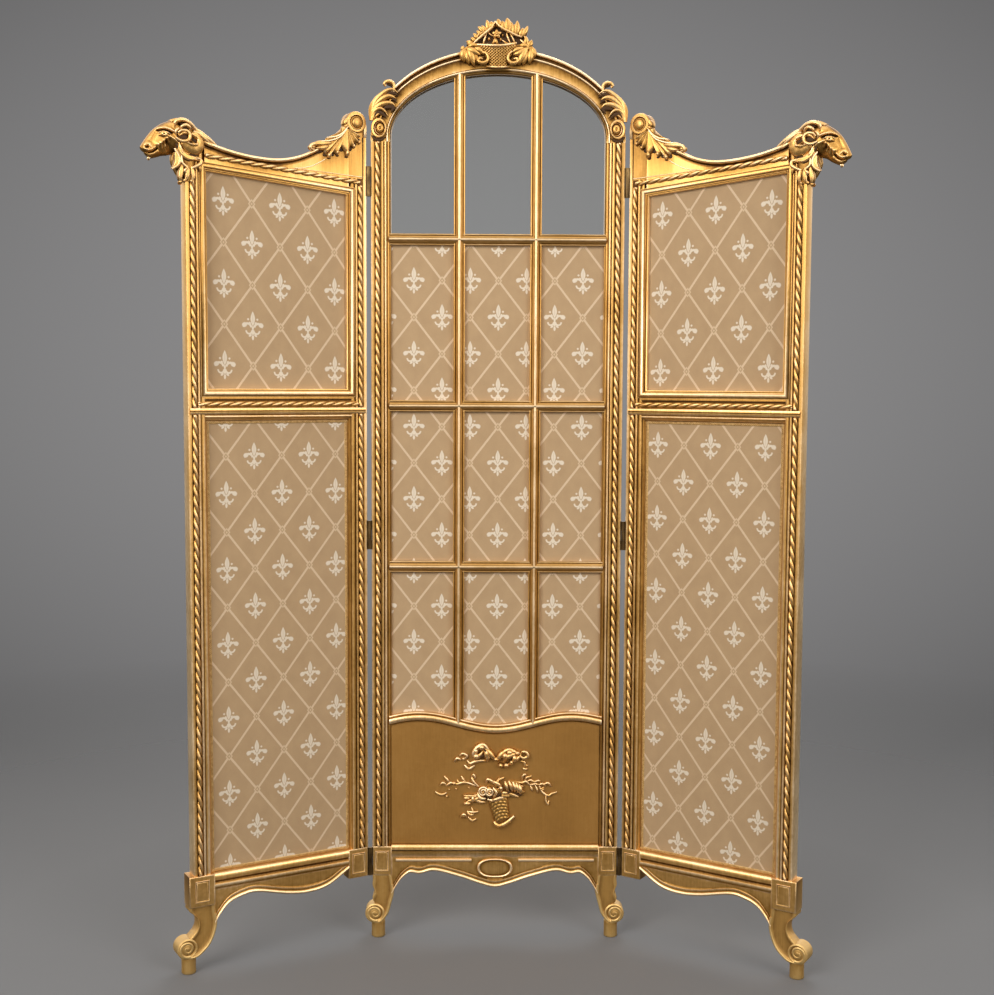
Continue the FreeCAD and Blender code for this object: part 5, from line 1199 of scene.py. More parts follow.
def arch_leaf():
    """The ornament at the arch's right springing: an oval volute whose rim steps down round a domed and
    dimpled eye, and a leaf of bowed fingers climbing the moulding to a hooked curl, with small spikes on
    its outer edge."""
    x, z = 234.5, 1637.0
    a = circle(72)[None, :]
    r = np.linspace(1, 0.02, 40)[:, None]
    turn = ((a + 2.6) % (2 * math.pi)) / (2 * math.pi)
    ring = 0.9 * np.exp(-(((r - 0.62) / 0.05) ** 2)) * unit(2 * turn)
    bed = unit((0.8 - 0.1 * turn - r) / 0.06) - ring
    eye = 5.0 * dome(r / 0.5)
    depth = -6.0 + 4.0 * bed + 2.4 * unit((r - 0.9) / 0.1) ** 2 - eye
    depth = depth + 1.6 * np.exp(-(((r - 0.12) / 0.07) ** 2))
    wide, tall = 15.4, 19.4
    shift = -2.4 * unit((0.85 - r) / 0.3)
    face = xyz(x + shift + wide * r * np.cos(a), depth, z + tall * r * np.sin(a))
    base = xyz(x + wide * np.cos(a), 3.0, z + tall * np.sin(a))
    forms = [capped(np.concatenate((base, face)))]
    for line, width, lift in (
        ([(250, 1657), (246, 1668), (235, 1674.5), (224, 1671), (215, 1658)], 9, 7),
        ([(241, 1659), (234, 1664.5), (227, 1661)], 5, 4.5),
        ([(249, 1666), (238, 1678), (223, 1684.5), (209, 1684.5), (201, 1677)], 12, 7.5),
        ([(246, 1677), (232, 1690), (219, 1697.5), (208, 1697.5), (199.5, 1693)], 12, 7.5),
        ([(250.5, 1652), (249.5, 1674), (242, 1688.5), (230, 1700.5), (216, 1710), (205, 1710.5),
          (195.5, 1703)], 11, 8), ([(248, 1652), (245, 1668), (238, 1682), (226, 1694)], 16, 5),
    ):
        forms.append(petal(line, -1, width, lift, count=36, groove=0.0, sink=5, fullness=0.75))
    hook = [(205, 1707), (204.6, 1716), (206.5, 1723), (213, 1726.6), (220, 1725.6), (223.6, 1721),
            (220.5, 1717.6)]
    forms.append(stroke(hook, -3, 3.7))
    for root, tip in (
        ((246, 1680), (251, 1685)), ((243, 1684), (248, 1690)), ((237, 1691), (241.5, 1699)),
        ((232, 1696), (236, 1702)),
    ):
        forms.append(petal(bowed(root, tip, 0.6), -1, 4.4, 3, count=12, across=9, sink=5))
    return gathered(forms)


def springing_bed():
    """Dark crescents painted as the shade in the springing leaf's hollows: one under each finger, and those
    in the hook and under the oval."""
    forms = []
    for line, depth, width in (
        ([(247, 1656.5), (241, 1664.5), (232, 1667), (224, 1662), (219, 1655)], -4.4, 7),
        ([(224, 1675.5), (214, 1678.5), (206, 1676), (211, 1667)], -4.0, 9),
        ([(244, 1675), (233, 1684), (220, 1690)], -5.2, 3.6),
        ([(209, 1692.5), (203, 1691.5), (200, 1686)], -4.2, 5),
        ([(224, 1696), (214, 1704), (204, 1703.5), (196, 1698.5)], -4.4, 6.5),
        ([(219, 1722.5), (212, 1722), (208, 1716)], -0.6, 6.5),
        ([(249, 1623), (241, 1615.5), (230, 1615), (221, 1621)], -1.2, 6),
    ):
        forms.append(petal(line, depth, width, 1.2, count=24, groove=0.0, sink=6, fullness=0.9))
    return gathered(forms)


def skull():
    """The ram's skull: ovals between an underside and an upper line. Half its breadth at each point is an
    oval's, plus ridges and hollows drawn in side view for brow, lids, eye, nose, nostril, lips, cheek and
    jaw."""
    low = [(350, 1562), (372, 1557), (392, 1553), (401, 1550), (409, 1544.5), (417, 1540.5), (425, 1537.5),
           (432, 1540), (440, 1547)]
    high = [(347, 1605), (372, 1617.5), (396, 1613), (411, 1605), (420, 1597.5), (428.5, 1588), (437, 1574),
            (443.5, 1561), (446.5, 1554)]
    breadth = np.array([17, 22.5, 21, 19, 16.5, 14, 12.4, 11, 5.5])
    count, around = 170, 76
    under, over = smooth(low, count), smooth(high, count)
    half = smooth(np.stack((breadth, breadth), -1), count)[:, :1]
    t = (0.5 - 0.5 * np.cos(np.linspace(0, math.pi, around)))[None, :]
    x = under[:, :1] * (1 - t) + over[:, :1] * t
    z = under[:, 1:] * (1 - t) + over[:, 1:] * t
    round_off = unit(1 - (2 * t - 1) ** 2)
    # line, width and how far it stands out
    forms = [
        ([(396, 1604), (407, 1603), (416, 1598)], 7.5, 4.2),
        ([(394, 1591), (401, 1593.6), (410, 1595), (418, 1594), (424, 1590.5)], 2.4, 3.4),
        ([(396, 1587.6), (404, 1590), (412, 1590.4), (421, 1588.4)], 1.7, -4.6),
        ([(408, 1583.6), (412, 1583.2)], 4.0, 4.4), ([(409.6, 1583.4), (411, 1583.2)], 1.3, -3.2),
        ([(402.5, 1579.2), (410, 1577.2), (417.5, 1578.8)], 1.2, -1.4),
        ([(400, 1584.6), (406, 1588), (413, 1588), (418.5, 1584.2)], 1.3, 2.6),
        ([(424, 1583), (431, 1567)], 4.6, -2.4),
        ([(423, 1593.5), (431, 1581), (437.5, 1569), (442, 1560)], 3.0, 2.4),
        ([(434.5, 1555.6), (437.6, 1554.2)], 1.7, -4.2),
        ([(430, 1557), (433, 1561), (438, 1561), (441.5, 1557)], 2.6, 1.5),
        ([(423, 1556.5), (428, 1551.6), (434, 1549.6), (441, 1551)], 2.2, 2.2),
        ([(418, 1555.5), (424, 1549), (431, 1545.6), (440, 1546.4)], 1.5, -4.0),
        ([(416, 1550), (423, 1544.6), (430, 1541)], 2.4, 2.2),
        ([(404, 1578), (411, 1570.5), (418, 1563.5)], 4.4, 3.4), ([(403, 1576), (399, 1571.5)], 2.2, 2.0),
        ([(408, 1571), (403.5, 1563.5)], 2.4, 2.4), ([(413, 1566), (410, 1558.5)], 2.4, 2.4),
        ([(418, 1562), (416.5, 1556.5)], 2.0, 1.8), ([(402, 1570), (396, 1563), (391, 1556)], 7.0, -6.5),
        ([(382, 1571), (390, 1577), (399, 1580.5)], 2.4, 2.0),
        ([(366, 1609), (374, 1610.4), (383, 1609)], 3.0, -6.5),
        ([(392, 1600), (390, 1608), (397, 1612)], 2.0, -1.6),
        ([(386, 1596), (388, 1588), (384, 1582)], 2.0, -2.0),
    ]
    swell = sum(lift * ridge(x, z, line, width) for line, width, lift in forms)
    reach = half * round_off ** 0.55 + swell * round_off ** 0.35
    near = xyz(x, THICK / 2 - reach, z)
    far = xyz(x, THICK / 2 + reach, z)
    return capped(np.concatenate((near, far[:, -2:0:-1]), axis=1))


def shell_curl():
    """The shell-like horn: a domed patch inside a lobed outline, sunk to a deep eye with a lip below it."""
    outline = smooth([(360, 1597), (349, 1597), (338, 1588), (333.5, 1577), (337, 1564), (346, 1556.5),
                      (356, 1557), (367, 1559.5), (374, 1566), (379, 1573), (371, 1584),
                      (360, 1597)], 60)[:-1]
    middle = np.array([357.0, 1578.0])
    r = np.sin(np.linspace(0.03, 1, 22) * math.pi / 2)[:, None]
    x = middle[0] + r * (outline[:, 0] - middle[0])
    z = middle[1] + r * (outline[:, 1] - middle[1])
    rise = 9.5 * dome(r) ** 0.7
    for line, width, lift in (
        ([(352, 1582), (360, 1586)], 4.2, -9.0), ([(360, 1579), (363, 1578)], 2.6, -5.0),
        ([(348, 1584), (350, 1576.5), (358, 1573.5), (366, 1576)], 1.8, 2.2),
    ):
        rise = rise + lift * ridge(x, z, line, width)
    angle = np.arctan2(z - middle[1], x - middle[0])
    rise = rise + 0.8 * np.cos(9 * angle) * r ** 3 * dome(r)
    face = xyz(x, -3.5 - rise, z)
    base = face[-1:].copy()
    base[..., 1] = 4.0
    return capped(np.concatenate((face, base)))


def ram_head():
    """The ram's head: the skull, on each face a shell horn, two ring curls, waves of wool and a leaf collar,
    then locks over the crown and a bell under the neck that the collar hangs on."""
    near = [
        shell_curl(),
        stroke([(386, 1590), (380, 1595), (371, 1595.6), (365, 1590), (365.5, 1582), (372, 1577),
                (381, 1576.6), (389, 1580)], -9.5, 3.5, 3),
        petal([(368, 1592), (376, 1591.5), (384, 1584)], -8, 7, 5, sink=4, groove=0.0),
        stroke([(365, 1597), (366, 1603.4), (373, 1606.2), (380, 1603), (381.5, 1597.5)], -8, 3.2, 3),
        stroke([(350, 1602.5), (362, 1611.5), (376, 1615.6), (387, 1613), (391.5, 1606.5), (387, 1600)], -0.5,
               4.2, 4.0),
        stroke([(384, 1599), (390, 1593), (389, 1585)], -7, 2.6, 1.5),
        stroke([(358, 1606), (344, 1600.5), (331, 1591.5), (320, 1584), (309, 1577)], 1, 4.6, 3),
        stroke([(356, 1600), (344, 1596), (333, 1588), (321, 1579)], -2, 3.8, 3),
        stroke([(340, 1586), (330, 1581), (320, 1576), (313, 1575)], -1, 3.4, 2),
        stroke([(382, 1575), (377, 1563), (373, 1556), (363, 1549)], -6, 2.4, 2),
        petal([(384, 1569), (377, 1558), (364, 1550), (350, 1549), (341, 1544)], -5, 12, 5, sink=7, count=30),
        stroke([(352, 1550), (342, 1548.5), (340, 1542), (347, 1536), (358, 1531)], -6, 3.8, 1),
        stroke([(376, 1552), (375, 1539), (367, 1531), (371, 1525), (364, 1518)], -6.5, 2.8, 1),
        petal([(366, 1536), (365.5, 1524), (367, 1514), (371, 1507)], -4.5, 10, 5, sink=7),
        petal([(358, 1534), (355, 1522), (355, 1514), (358, 1507)], -4.0, 9, 4.5, sink=6),
        petal([(350, 1540), (342, 1533), (340, 1524)], -3.0, 8, 4, sink=5),
        button(370.5, 1508, -2, 3.6, 4.0, 5.0), button(358, 1508, -1.5, 3.4, 3.8, 5.0),
    ]
    outer = [
        stroke([(388, 1562), (380, 1548), (383, 1535), (394, 1527)], -4.5, 3.2, 2),
        petal([(386, 1556), (384, 1545), (388, 1534), (395, 1528)], -3.5, 9, 4, sink=6),
        petal([(375, 1538), (377, 1524), (379, 1513), (378.5, 1504)], -3.0, 10, 5, sink=7),
        button(378, 1505, -1, 3.4, 3.8, 4.6),
    ]
    middle = THICK / 2
    forms = [skull()] + near + outer + [other_face(form) for form in near]
    for shift in (-9, 0, 9):
        lock = [(x, middle + share * shift, z) for x, share, z in (
            (398, 0.6, 1612), (386, 0.8, 1616.5), (370, 1, 1617.5), (352, 1, 1607.5), (334, 0.8, 1595),
            (316, 0.6, 1583),
        )]
        forms.append(leaf_3d(lock, 13, (0.25, 0.02 * shift, 1), 3.0, count=36))
        fall = [(x, middle + shift, z) for x, z in ((385, 1556), (386, 1543), (380, 1527), (371, 1512))]
        forms.append(leaf_3d(fall, 12, (1, 0.02 * shift, -0.2), 3.6, count=26))
    beard = [(427, middle, 1541), (429.5, middle, 1536.5), (428, middle, 1533)]
    forms.append(leaf_3d(beard, 6, (1, 0, 0), 2.0, count=10, across=7))
    # the bell under the neck: middle, half length, half depth at each height
    bell = np.array([(367, 21, 18, 1566), (365.5, 20.5, 19, 1556), (364, 20, 19.5, 1546),
                     (362.5, 17.5, 19, 1536), (361.5, 14, 18, 1524), (362, 11, 17, 1512),
                     (363, 8.5, 16.2, 1507)])
    a = circle(40)
    c, s = np.cos(a), np.sin(a)
    mid, wide, deep, height = (column[:, None] for column in bell.T)
    along, through = wide * np.sign(c) * np.abs(c) ** 0.7, deep * np.sign(s) * np.abs(s) ** 0.7
    forms.append(capped(xyz(mid + along, middle + through, height)))
    return gathered(forms)


def cleared(form, hinge):
    """Carving that leaves room for the fold: near the hinge line a point may stand out only by a share of its
    distance from that line, and is eased towards that limit."""
    x, y, z = form.points.T
    room = 0.56 * np.maximum(np.abs(np.abs(x) - hinge), 0.5)
    return Form(xyz(x, np.where(y < 0, -room * np.tanh(-y / room), y), z), form.faces)


def lifted(form, turn):
    """The head carried higher: points above the collar, or out beyond it, turn about the nape, and the tail
    of the wool stays on the board."""
    x, y, z = form.points.T
    share = unit(np.maximum((z - 1542) / 24, (x - 394) / 14)) * unit((x - 322) / 30)
    c, s = np.cos(turn * share), np.sin(turn * share)
    out, up = x - NAPE_X, z - NAPE_Z
    return Form(xyz(NAPE_X + out * c - up * s, y, NAPE_Z + out * s + up * c), form.faces)


def head_hollows():
    """Dark ovals painted as the shade in the ram's head's hollows on both faces: inside the ring curls, in
    the horn's eye, under the crown wave, behind the jaw and in the collar."""
    near = [button(x, z, y, wide, tall, lift, turn=turn) for x, z, y, wide, tall, lift, turn in (
        (375, 1584.6, -8.8, 8.4, 6.0, 1.6, 0), (373, 1600, -6.4, 6.2, 3.6, 2.0, 0),
        (353.5, 1583, -5.6, 6.6, 5.0, 1.6, 0.5), (375, 1609.4, 0.2, 10, 2.6, 2.8, 0),
        (357, 1554.5, -6.0, 13, 2.4, 1.6, -0.15), (384.5, 1566, -7.4, 2.6, 6.0, 1.6, -0.5),
        (366, 1546, -6.4, 7, 2.6, 1.4, 0.3), (362, 1527, -5.4, 3.4, 4.6, 1.4, 0),
        (377, 1530, -5.0, 3.0, 4.6, 1.4, 0),
    )]
    return gathered(near + [other_face(form) for form in near])


def leaf_3d(points, width, out, lift, count, across=9):
    """A lock or leaf in the round: it follows a line, spreads square to the line and to the way it faces, and
    is raised that way to a crown with a groove down its middle."""
    sink = 2.5
    path = smooth(points, count)
    run = np.gradient(path, axis=0)
    run /= np.linalg.norm(run, axis=1)[:, None]
    out = np.asarray(out, float) / np.linalg.norm(out)
    side = np.cross(run, out)
    side /= np.linalg.norm(side, axis=1)[:, None]
    face = np.cross(side, run)
    s, t = np.linspace(0, 1, count)[:, None], np.linspace(-1, 1, across)[None, :]
    swell = np.sin(math.pi * (0.08 + 0.92 * s) ** 0.7) ** 0.8 + 0.02
    height = lift * swell ** 0.5 * dome(t)
    height = height * (1 - 0.45 * np.exp(-((t / 0.16) ** 2)))
    front = path[:, None] + (t * width / 2 * swell)[..., None] * side[:, None]
    back = front - sink * face[:, None]
    return shell(front + height[..., None] * face[:, None], back)


def latticed_tub():
    """The crest's basket: a bowed front between two flaring sides, raised along slanting strips both ways."""
    s, t = np.linspace(-1, 1, 151)[None, :], np.linspace(0, 1, 81)[:, None]
    half = 20.5 + 26 * t ** 1.7
    x, z = -1.5 + half * s, 1753.5 + 43.5 * t + 2.5 * s ** 2 * (1 - t)
    slant_a, slant_b = (x + 1.2 * z) / 6.4, (x - 1.2 * z) / 6.4
    strip = np.maximum(np.abs(np.sin(math.pi * slant_a)) ** 3, np.abs(np.sin(math.pi * slant_b)) ** 3)
    bow = 2 + 9.5 * dome(s) * (0.75 + 0.25 * t)
    front = xyz(x, -bow - 1.1 * strip * (1 - s ** 8), z)
    back = xyz(x, 10.0, z)
    return shell(front, back)


def gable_plate():
    """The plate behind the flowers: a triangle under the gable, spread between its lower and upper lines."""
    lower = smooth([(-50, 1797), (-25, 1795), (0, 1794), (25, 1797), (54, 1799)], 40)
    upper = smooth([(-50, 1800), (-26, 1820), (-7, 1841), (20, 1822), (54, 1814)], 40)
    t = np.linspace(0, 1, 12)[None, :, None]
    flat = lower[:, None] * (1 - t) + upper[:, None] * t
    return shell(xyz(flat[..., 0], 3.0, flat[..., 1]), xyz(flat[..., 0], 11.0, flat[..., 1]))


def crest_carving():
    """The crest: a latticed basket and its rim, a gable of stems with a star flower, leaves and ribs in its
    hollow, flame leaves along its outside, and a scroll with drooping acanthus at each side."""
    forms = [latticed_tub()]
    gable = smooth([(-53, 1800), (-28, 1822), (-7, 1842), (20, 1824), (46, 1812)], 40)
    crown = smooth([(-59, 1805), (-34, 1828), (-9, 1842.5), (22, 1835), (54, 1818)], 40)
    t = np.linspace(0, 1, 8)[None, :, None]
    mass = gable[:, None] * (1 - t) + crown[:, None] * t
    forms.append(shell(xyz(mass[..., 0], -0.5, mass[..., 1]), xyz(mass[..., 0], 9.0, mass[..., 1])))
    rim = smooth([(-50, -2, 1799), (-29, -9, 1796), (-10, -13, 1794.5), (5, -13, 1794.5), (24, -10, 1798),
                  (34, -5, 1801)], 40)
    forms.append(cane(rim, 2.6, sides=10))
    foot = smooth([(-24, -2, 1757), (-12, -9, 1754.5), (-1.5, -11.5, 1753.5), (9, -9, 1754.5),
                   (21, -2, 1757)], 30)
    forms.append(cane(foot, 2.3, sides=10))
    for line, y, thick in (
        ([(-50, 1799), (-38, 1810), (-26, 1820), (-15, 1829), (-11, 1835.5), (-7, 1842)], -6, 2.7),
        ([(-7, 1842), (0, 1834), (10, 1827), (21, 1822), (33, 1816), (44, 1813)], -6, 2.7),
        ([(-53, 1801), (-41, 1815), (-28, 1824), (-19, 1828)], -3, 2.4),
        ([(-31, 1797), (-28, 1808), (-24, 1820)], -3, 1.9), ([(15, 1822), (18, 1811), (24, 1798)], -3, 1.9),
        ([(22, 1821), (27, 1811), (32, 1801)], -3, 1.8), ([(-22, 1823), (-17, 1818), (-11, 1815)], -2, 1.7),
        ([(7, 1807), (14, 1802), (23, 1798)], -3, 1.8), ([(42, 1808), (49, 1801), (57, 1793)], -4, 2.4),
        ([(50, 1815), (55, 1804), (57, 1793)], -3, 2.4),
    ):
        forms.append(stroke(line, y, thick, 1.0))
    for k in range(5):
        a = math.radians(90 + 72 * k)
        tip = (-4 + 11 * math.cos(a), 1819 + 10 * math.sin(a))
        forms.append(petal(bowed((-4, 1819), tip), -1, 7.5, 4.5, count=14, across=9))
    forms.append(button(-4, 1819, -2, 3.6, 3.6, 5))
    for x, z, size in ((8, 1817, 2.4), (-8, 1834, 2.8), (-19, 1810, 3.2), (4, 1809, 3.0), (-7, 1807, 5.0)):
        forms.append(button(x, z, 2, size, 1.2 * size, 5.5))
    forms += [petal([(-7, 1811), (-9, 1804), (-15, 1798)], -1, 6, 4),
              petal([(-6, 1810), (-4, 1803), (0, 1797)], -1, 6, 4)]
    # flame leaves: root, tip and width
    for root, tip, width in (
        ((-50, 1797), (-64, 1805), 8), ((-52, 1802), (-63, 1798), 7), ((-42, 1808), (-50, 1820), 7),
        ((-46, 1803), (-55, 1812), 7), ((-29, 1820), (-41, 1833), 8), ((-25, 1822), (-34, 1835), 7),
        ((-20, 1823), (-24, 1846), 9), ((-35, 1815), (-44, 1825), 7), ((-13, 1829), (-16, 1843), 8),
        ((-2, 1832), (-2, 1848), 10), ((10, 1826), (6, 1844), 10), ((18, 1821), (16, 1850), 13),
        ((21, 1820), (25, 1842), 9), ((28, 1818), (30, 1838), 9), ((33, 1816), (36, 1845), 10),
        ((41, 1814), (47, 1831), 9), ((44, 1813), (57, 1835), 8), ((56, 1793), (65, 1808), 9),
        ((53, 1797), (52, 1816), 8), ((58, 1788), (67, 1795), 8), ((-58, 1790), (-68, 1790), 8),
    ):
        forms.append(petal(bowed(root, tip, 1.2), -2, 1.3 * width, 5, sink=10, fullness=0.85, count=18))
    # side scrolls: line and the middle of the boss
    for line, x, z in (
        ([(-33, 1783), (-25, 1780), (-20.5, 1771), (-25, 1763.5), (-34, 1762), (-40, 1766), (-37, 1771),
          (-32, 1770)], -30, 1771),
        ([(26, 1785), (19.5, 1778), (18.5, 1769), (24, 1762.5), (31, 1762), (37, 1766), (35, 1771),
          (30, 1770)], 28, 1771),
    ):
        forms.append(stroke(line, -9, 3.6, 2.0))
        forms.append(button(x, z, 4, 11, 11, 6))
    # drooping leaves: line, width, rise, depth
    for line, width, lift, y in (
        ([(-62, 1789), (-48, 1784), (-34, 1777)], 12, 7, -6),
        ([(-47, 1791), (-37, 1786), (-27, 1778)], 10, 6, -7),
        ([(58, 1791), (41, 1782), (27, 1778)], 12, 7, -6), ([(48, 1792), (34, 1787), (26, 1781)], 9, 6, -7),
        ([(-60, 1790), (-53, 1774), (-47, 1755)], 14, 8, -5),
        ([(-64, 1791), (-70, 1778), (-66, 1763)], 13, 7, -3),
        ([(-62, 1788), (-61, 1773), (-57, 1759)], 12, 7, -4),
        ([(-52, 1786), (-45, 1773), (-41, 1759)], 11, 6, -4),
        ([(56, 1792), (46, 1775), (38, 1758)], 14, 8, -5), ([(62, 1791), (62, 1775), (59, 1761)], 13, 7, -3),
        ([(56, 1788), (51, 1773), (47, 1758)], 12, 7, -4), ([(64, 1794), (69, 1783), (67, 1771)], 10, 6, -2),
        ([(-66, 1793), (-70, 1790), (-70, 1782)], 9, 6, -2),
        ([(40, 1797), (52, 1796), (62, 1790)], 10, 6, -3),
        ([(-40, 1796), (-52, 1796), (-62, 1791)], 10, 6, -3),
    ):
        forms.append(petal(line, y, 1.12 * width, lift, fullness=0.95, sink=8 - y * 0.5, count=26, across=13,
                           groove=0.0))
    return gathered(forms)


def woven_basket():
    """The dado's basket: a leaning bowed front between two slanted sides, with sagging rows of weave."""
    s, t = np.linspace(0, 1, 41)[None, :], np.linspace(0, 1, 61)[:, None]
    left = np.array([(-2, 243), (-16, 291)])
    right = np.array([(30, 254), (25, 299)])
    x = (left[0, 0] * (1 - t) + left[1, 0] * t) * (1 - s) + (right[0, 0] * (1 - t) + right[1, 0] * t) * s
    z = (left[0, 1] * (1 - t) + left[1, 1] * t) * (1 - s) + (right[0, 1] * (1 - t) + right[1, 1] * t) * s
    sag = t + 0.16 * (2 * s - 1) ** 2
    bow = dome(2 * s - 1)
    row = np.sin(7 * math.pi * sag)
    rows = np.abs(row) * (0.7 + 0.3 * np.sign(np.sin(9 * math.pi * s)) * np.sign(row))
    front = xyz(x, 7.2 - 7.5 * bow - 0.9 * rows * bow ** 0.3, z)
    return shell(front, xyz(x, 8.4, z))


def trophy_hollows():
    """Dark ovals painted as the shade in the trophy's hollows: in the bow, under its knot, and between roses,
    leaves and basket.
    """
    forms = []
    for x, z, y, wide, tall, turn in (
        (-10, 380, 0, 4.0, 4.5, 0.6), (-27, 381, -1, 4.5, 3.4, 0.2), (-21, 394, -4.5, 2.2, 2.0, 0),
        (55, 377, 2, 5.5, 3.0, 0.2), (30, 377, -3, 6, 1.8, 0.4), (28.5, 305, 1, 4.2, 3.6, 0),
        (6, 300, -0.5, 8, 2.6, 0.4), (-23, 292, 1, 7, 2.6, 0.1), (-11, 294, 0.5, 4.4, 3.4, -0.4),
        (47, 300, 4, 9, 2.2, -0.1),
    ):
        forms.append(button(x, z, y, wide, tall, 1.2, turn=turn, sides=14, sink=9 - y))
    return gathered(forms)


def dado_carving():
    """The applied trophy: a ribbon bow with two tails, and below it a leaning basket of roses, petals and a
    fan of leaves with a sprigged branch to each side. The rounded forms reach back into the ground."""
    ground = 8.3
    forms = [woven_basket()]
    # ribbon, rims and stems: line, depth, thickness, rise
    for line, y, thick, arch in (
        ([(0, 374), (-12, 390), (-24, 404), (-36, 400), (-44, 388), (-39, 379), (-30, 383), (-25, 393)], 4,
         3.4, 4),
        ([(-17, 370), (-14, 380), (-20, 389), (-24, 397)], 4, 3.2, 3),
        ([(-6, 376), (-14, 384), (-20, 381)], 4, 2.4, 2),
        ([(4, 373), (12, 382), (20, 391), (29, 394), (38, 390), (45, 381)], 4, 3.4, 3),
        ([(17, 373), (24, 379), (33, 384), (43, 387)], 2, 3.6, 3),
        ([(31, 367), (42, 374), (50, 382)], 4, 3.0, 3),
        ([(51, 386), (57, 390), (64, 388), (66, 381), (58, 377), (51, 381), (52, 388)], 3, 2.3, 2),
        ([(26, 362), (33, 368), (38, 373)], 3, 2.6, 2),
        ([(-15, 370), (-28, 371), (-41, 369), (-51, 365), (-57, 370)], 6, 2.3, 2),
        ([(-63, 361), (-54, 354), (-43, 360)], 6, 2.2, 1.5),
        ([(-73, 381), (-66, 385), (-58, 380), (-64, 373)], 6, 2.0, 1),
        ([(-84, 368), (-78, 375), (-70, 372)], 6, 2.0, 1),
        ([(52, 369), (59, 368), (61, 362), (67, 360)], 6, 1.8, 1),
        ([(56, 355), (61, 353), (66, 354)], 6, 1.7, 1),
        ([(-2, 243), (3, 238), (11, 236), (25, 243), (39, 255)], 4, 3.3, 2.5),
        ([(-17, 291), (0, 289), (25, 299)], 4, 2.4, 3), ([(-36, 304), (-30, 294), (-18, 292)], 3, 2.6, 3),
        ([(-41, 301), (-37, 288), (-24, 286)], 5, 2.4, 2), ([(-35, 284), (-28, 285), (-20, 284)], 5, 2.2, 2),
        ([(-4, 315), (2, 306), (-3, 296)], 1, 2.2, 2), ([(6, 313), (12, 315), (11, 306)], 1, 2.2, 2),
        ([(13, 304), (19, 305), (26, 304)], 2, 2.4, 2), ([(-6, 289), (2, 292), (12, 296)], 0, 2.3, 2),
        ([(-19, 325), (-15, 332), (-6, 328), (2, 320)], 4, 2.4, 2),
        ([(-3, 328), (6, 323), (13, 316)], 3, 2.6, 2), ([(6, 329), (12, 333), (18, 336)], 5, 2.0, 1),
        ([(-32, 314), (-41, 323), (-46, 330), (-48, 336)], 6, 2.0, 1.5),
        ([(-47, 331), (-42, 335), (-44, 341), (-49, 338)], 6, 1.8, 1),
        ([(-40, 318), (-56, 324), (-66, 325), (-76, 322), (-84, 322)], 6, 1.9, 1),
        ([(-59, 325), (-65, 331), (-69, 338)], 6, 1.7, 1), ([(-71, 322), (-75, 326), (-78, 330)], 6, 1.6, 1),
        ([(-84, 322), (-91, 324), (-100, 318)], 6, 1.8, 1),
        ([(-99, 320), (-107, 324), (-113, 319)], 6, 1.8, 1),
        ([(-92, 323), (-98, 331), (-104, 338)], 6, 1.7, 1),
        ([(-122, 305), (-115, 301), (-108, 300), (-100, 303)], 6, 2.0, 1),
        ([(44, 326), (55, 325), (63, 327), (72, 319)], 6, 2.0, 1.5),
        ([(55, 329), (56, 338), (61, 342), (63, 336)], 6, 1.7, 1),
        ([(60, 328), (64, 335), (69, 337), (74, 339)], 6, 1.7, 1),
        ([(64, 326), (72, 330), (80, 327), (89, 329), (93, 325)], 6, 1.8, 1),
        ([(72, 320), (82, 322), (90, 320)], 6, 1.7, 1), ([(88, 320), (97, 322), (103, 317)], 6, 1.9, 1),
        ([(99, 321), (108, 324), (115, 317)], 6, 1.9, 1), ([(91, 314), (96, 311), (101, 311)], 6, 1.7, 1),
        ([(72, 318), (75, 311), (74, 307)], 6, 1.6, 1), ([(82, 319), (86, 309), (86, 303)], 6, 1.6, 1),
        ([(90, 318), (96, 306), (108, 298), (116, 302), (126, 305)], 6, 1.8, 1),
        ([(104, 299), (104, 288), (108, 280), (110, 287)], 6, 1.7, 1),
        ([(-35, 264), (-45, 263), (-57, 264)], 6, 2.0, 1.5),
        ([(-57, 265), (-52, 258), (-44, 258)], 6, 1.9, 1),
        ([(-71, 252), (-64, 258), (-58, 252)], 6, 2.4, 1.5),
        ([(-55, 252), (-47, 246), (-39, 249)], 6, 1.9, 1),
        ([(-48, 272), (-46, 264), (-50, 256)], 6.5, 1.6, 1),
    ):
        forms.append(stroke(line, y, 1.5 * thick, arch))
    # fan of leaves
    for line in (
        [(20, 328), (23, 319), (26, 309)], [(28, 329), (32, 319), (35, 309)],
        [(36, 327), (40, 317), (41, 308)], [(43, 324), (46, 315), (47, 306)],
        [(49, 321), (52, 312), (51, 303)],
    ):
        forms.append(stroke(line, 2, 3.9, 2.5))
    # leaves: line, width
    for line, width in (
        ([(-20, 300), (-34, 299), (-47, 298)], 8), ([(-24, 296), (-38, 291), (-47, 286)], 8),
        ([(-36, 296), (-52, 297), (-66, 299)], 8), ([(-40, 290), (-52, 287), (-64, 281)], 8),
        ([(26, 304), (36, 300), (50, 296)], 8), ([(44, 308), (52, 308), (61, 306)], 8),
        ([(48, 316), (54, 318), (59, 318)], 6), ([(2, 316), (4, 326), (9, 336)], 8),
        ([(12, 300), (22, 298), (37, 301)], 8),
    ):
        forms.append(petal(line, 4, width, 5, sink=4))
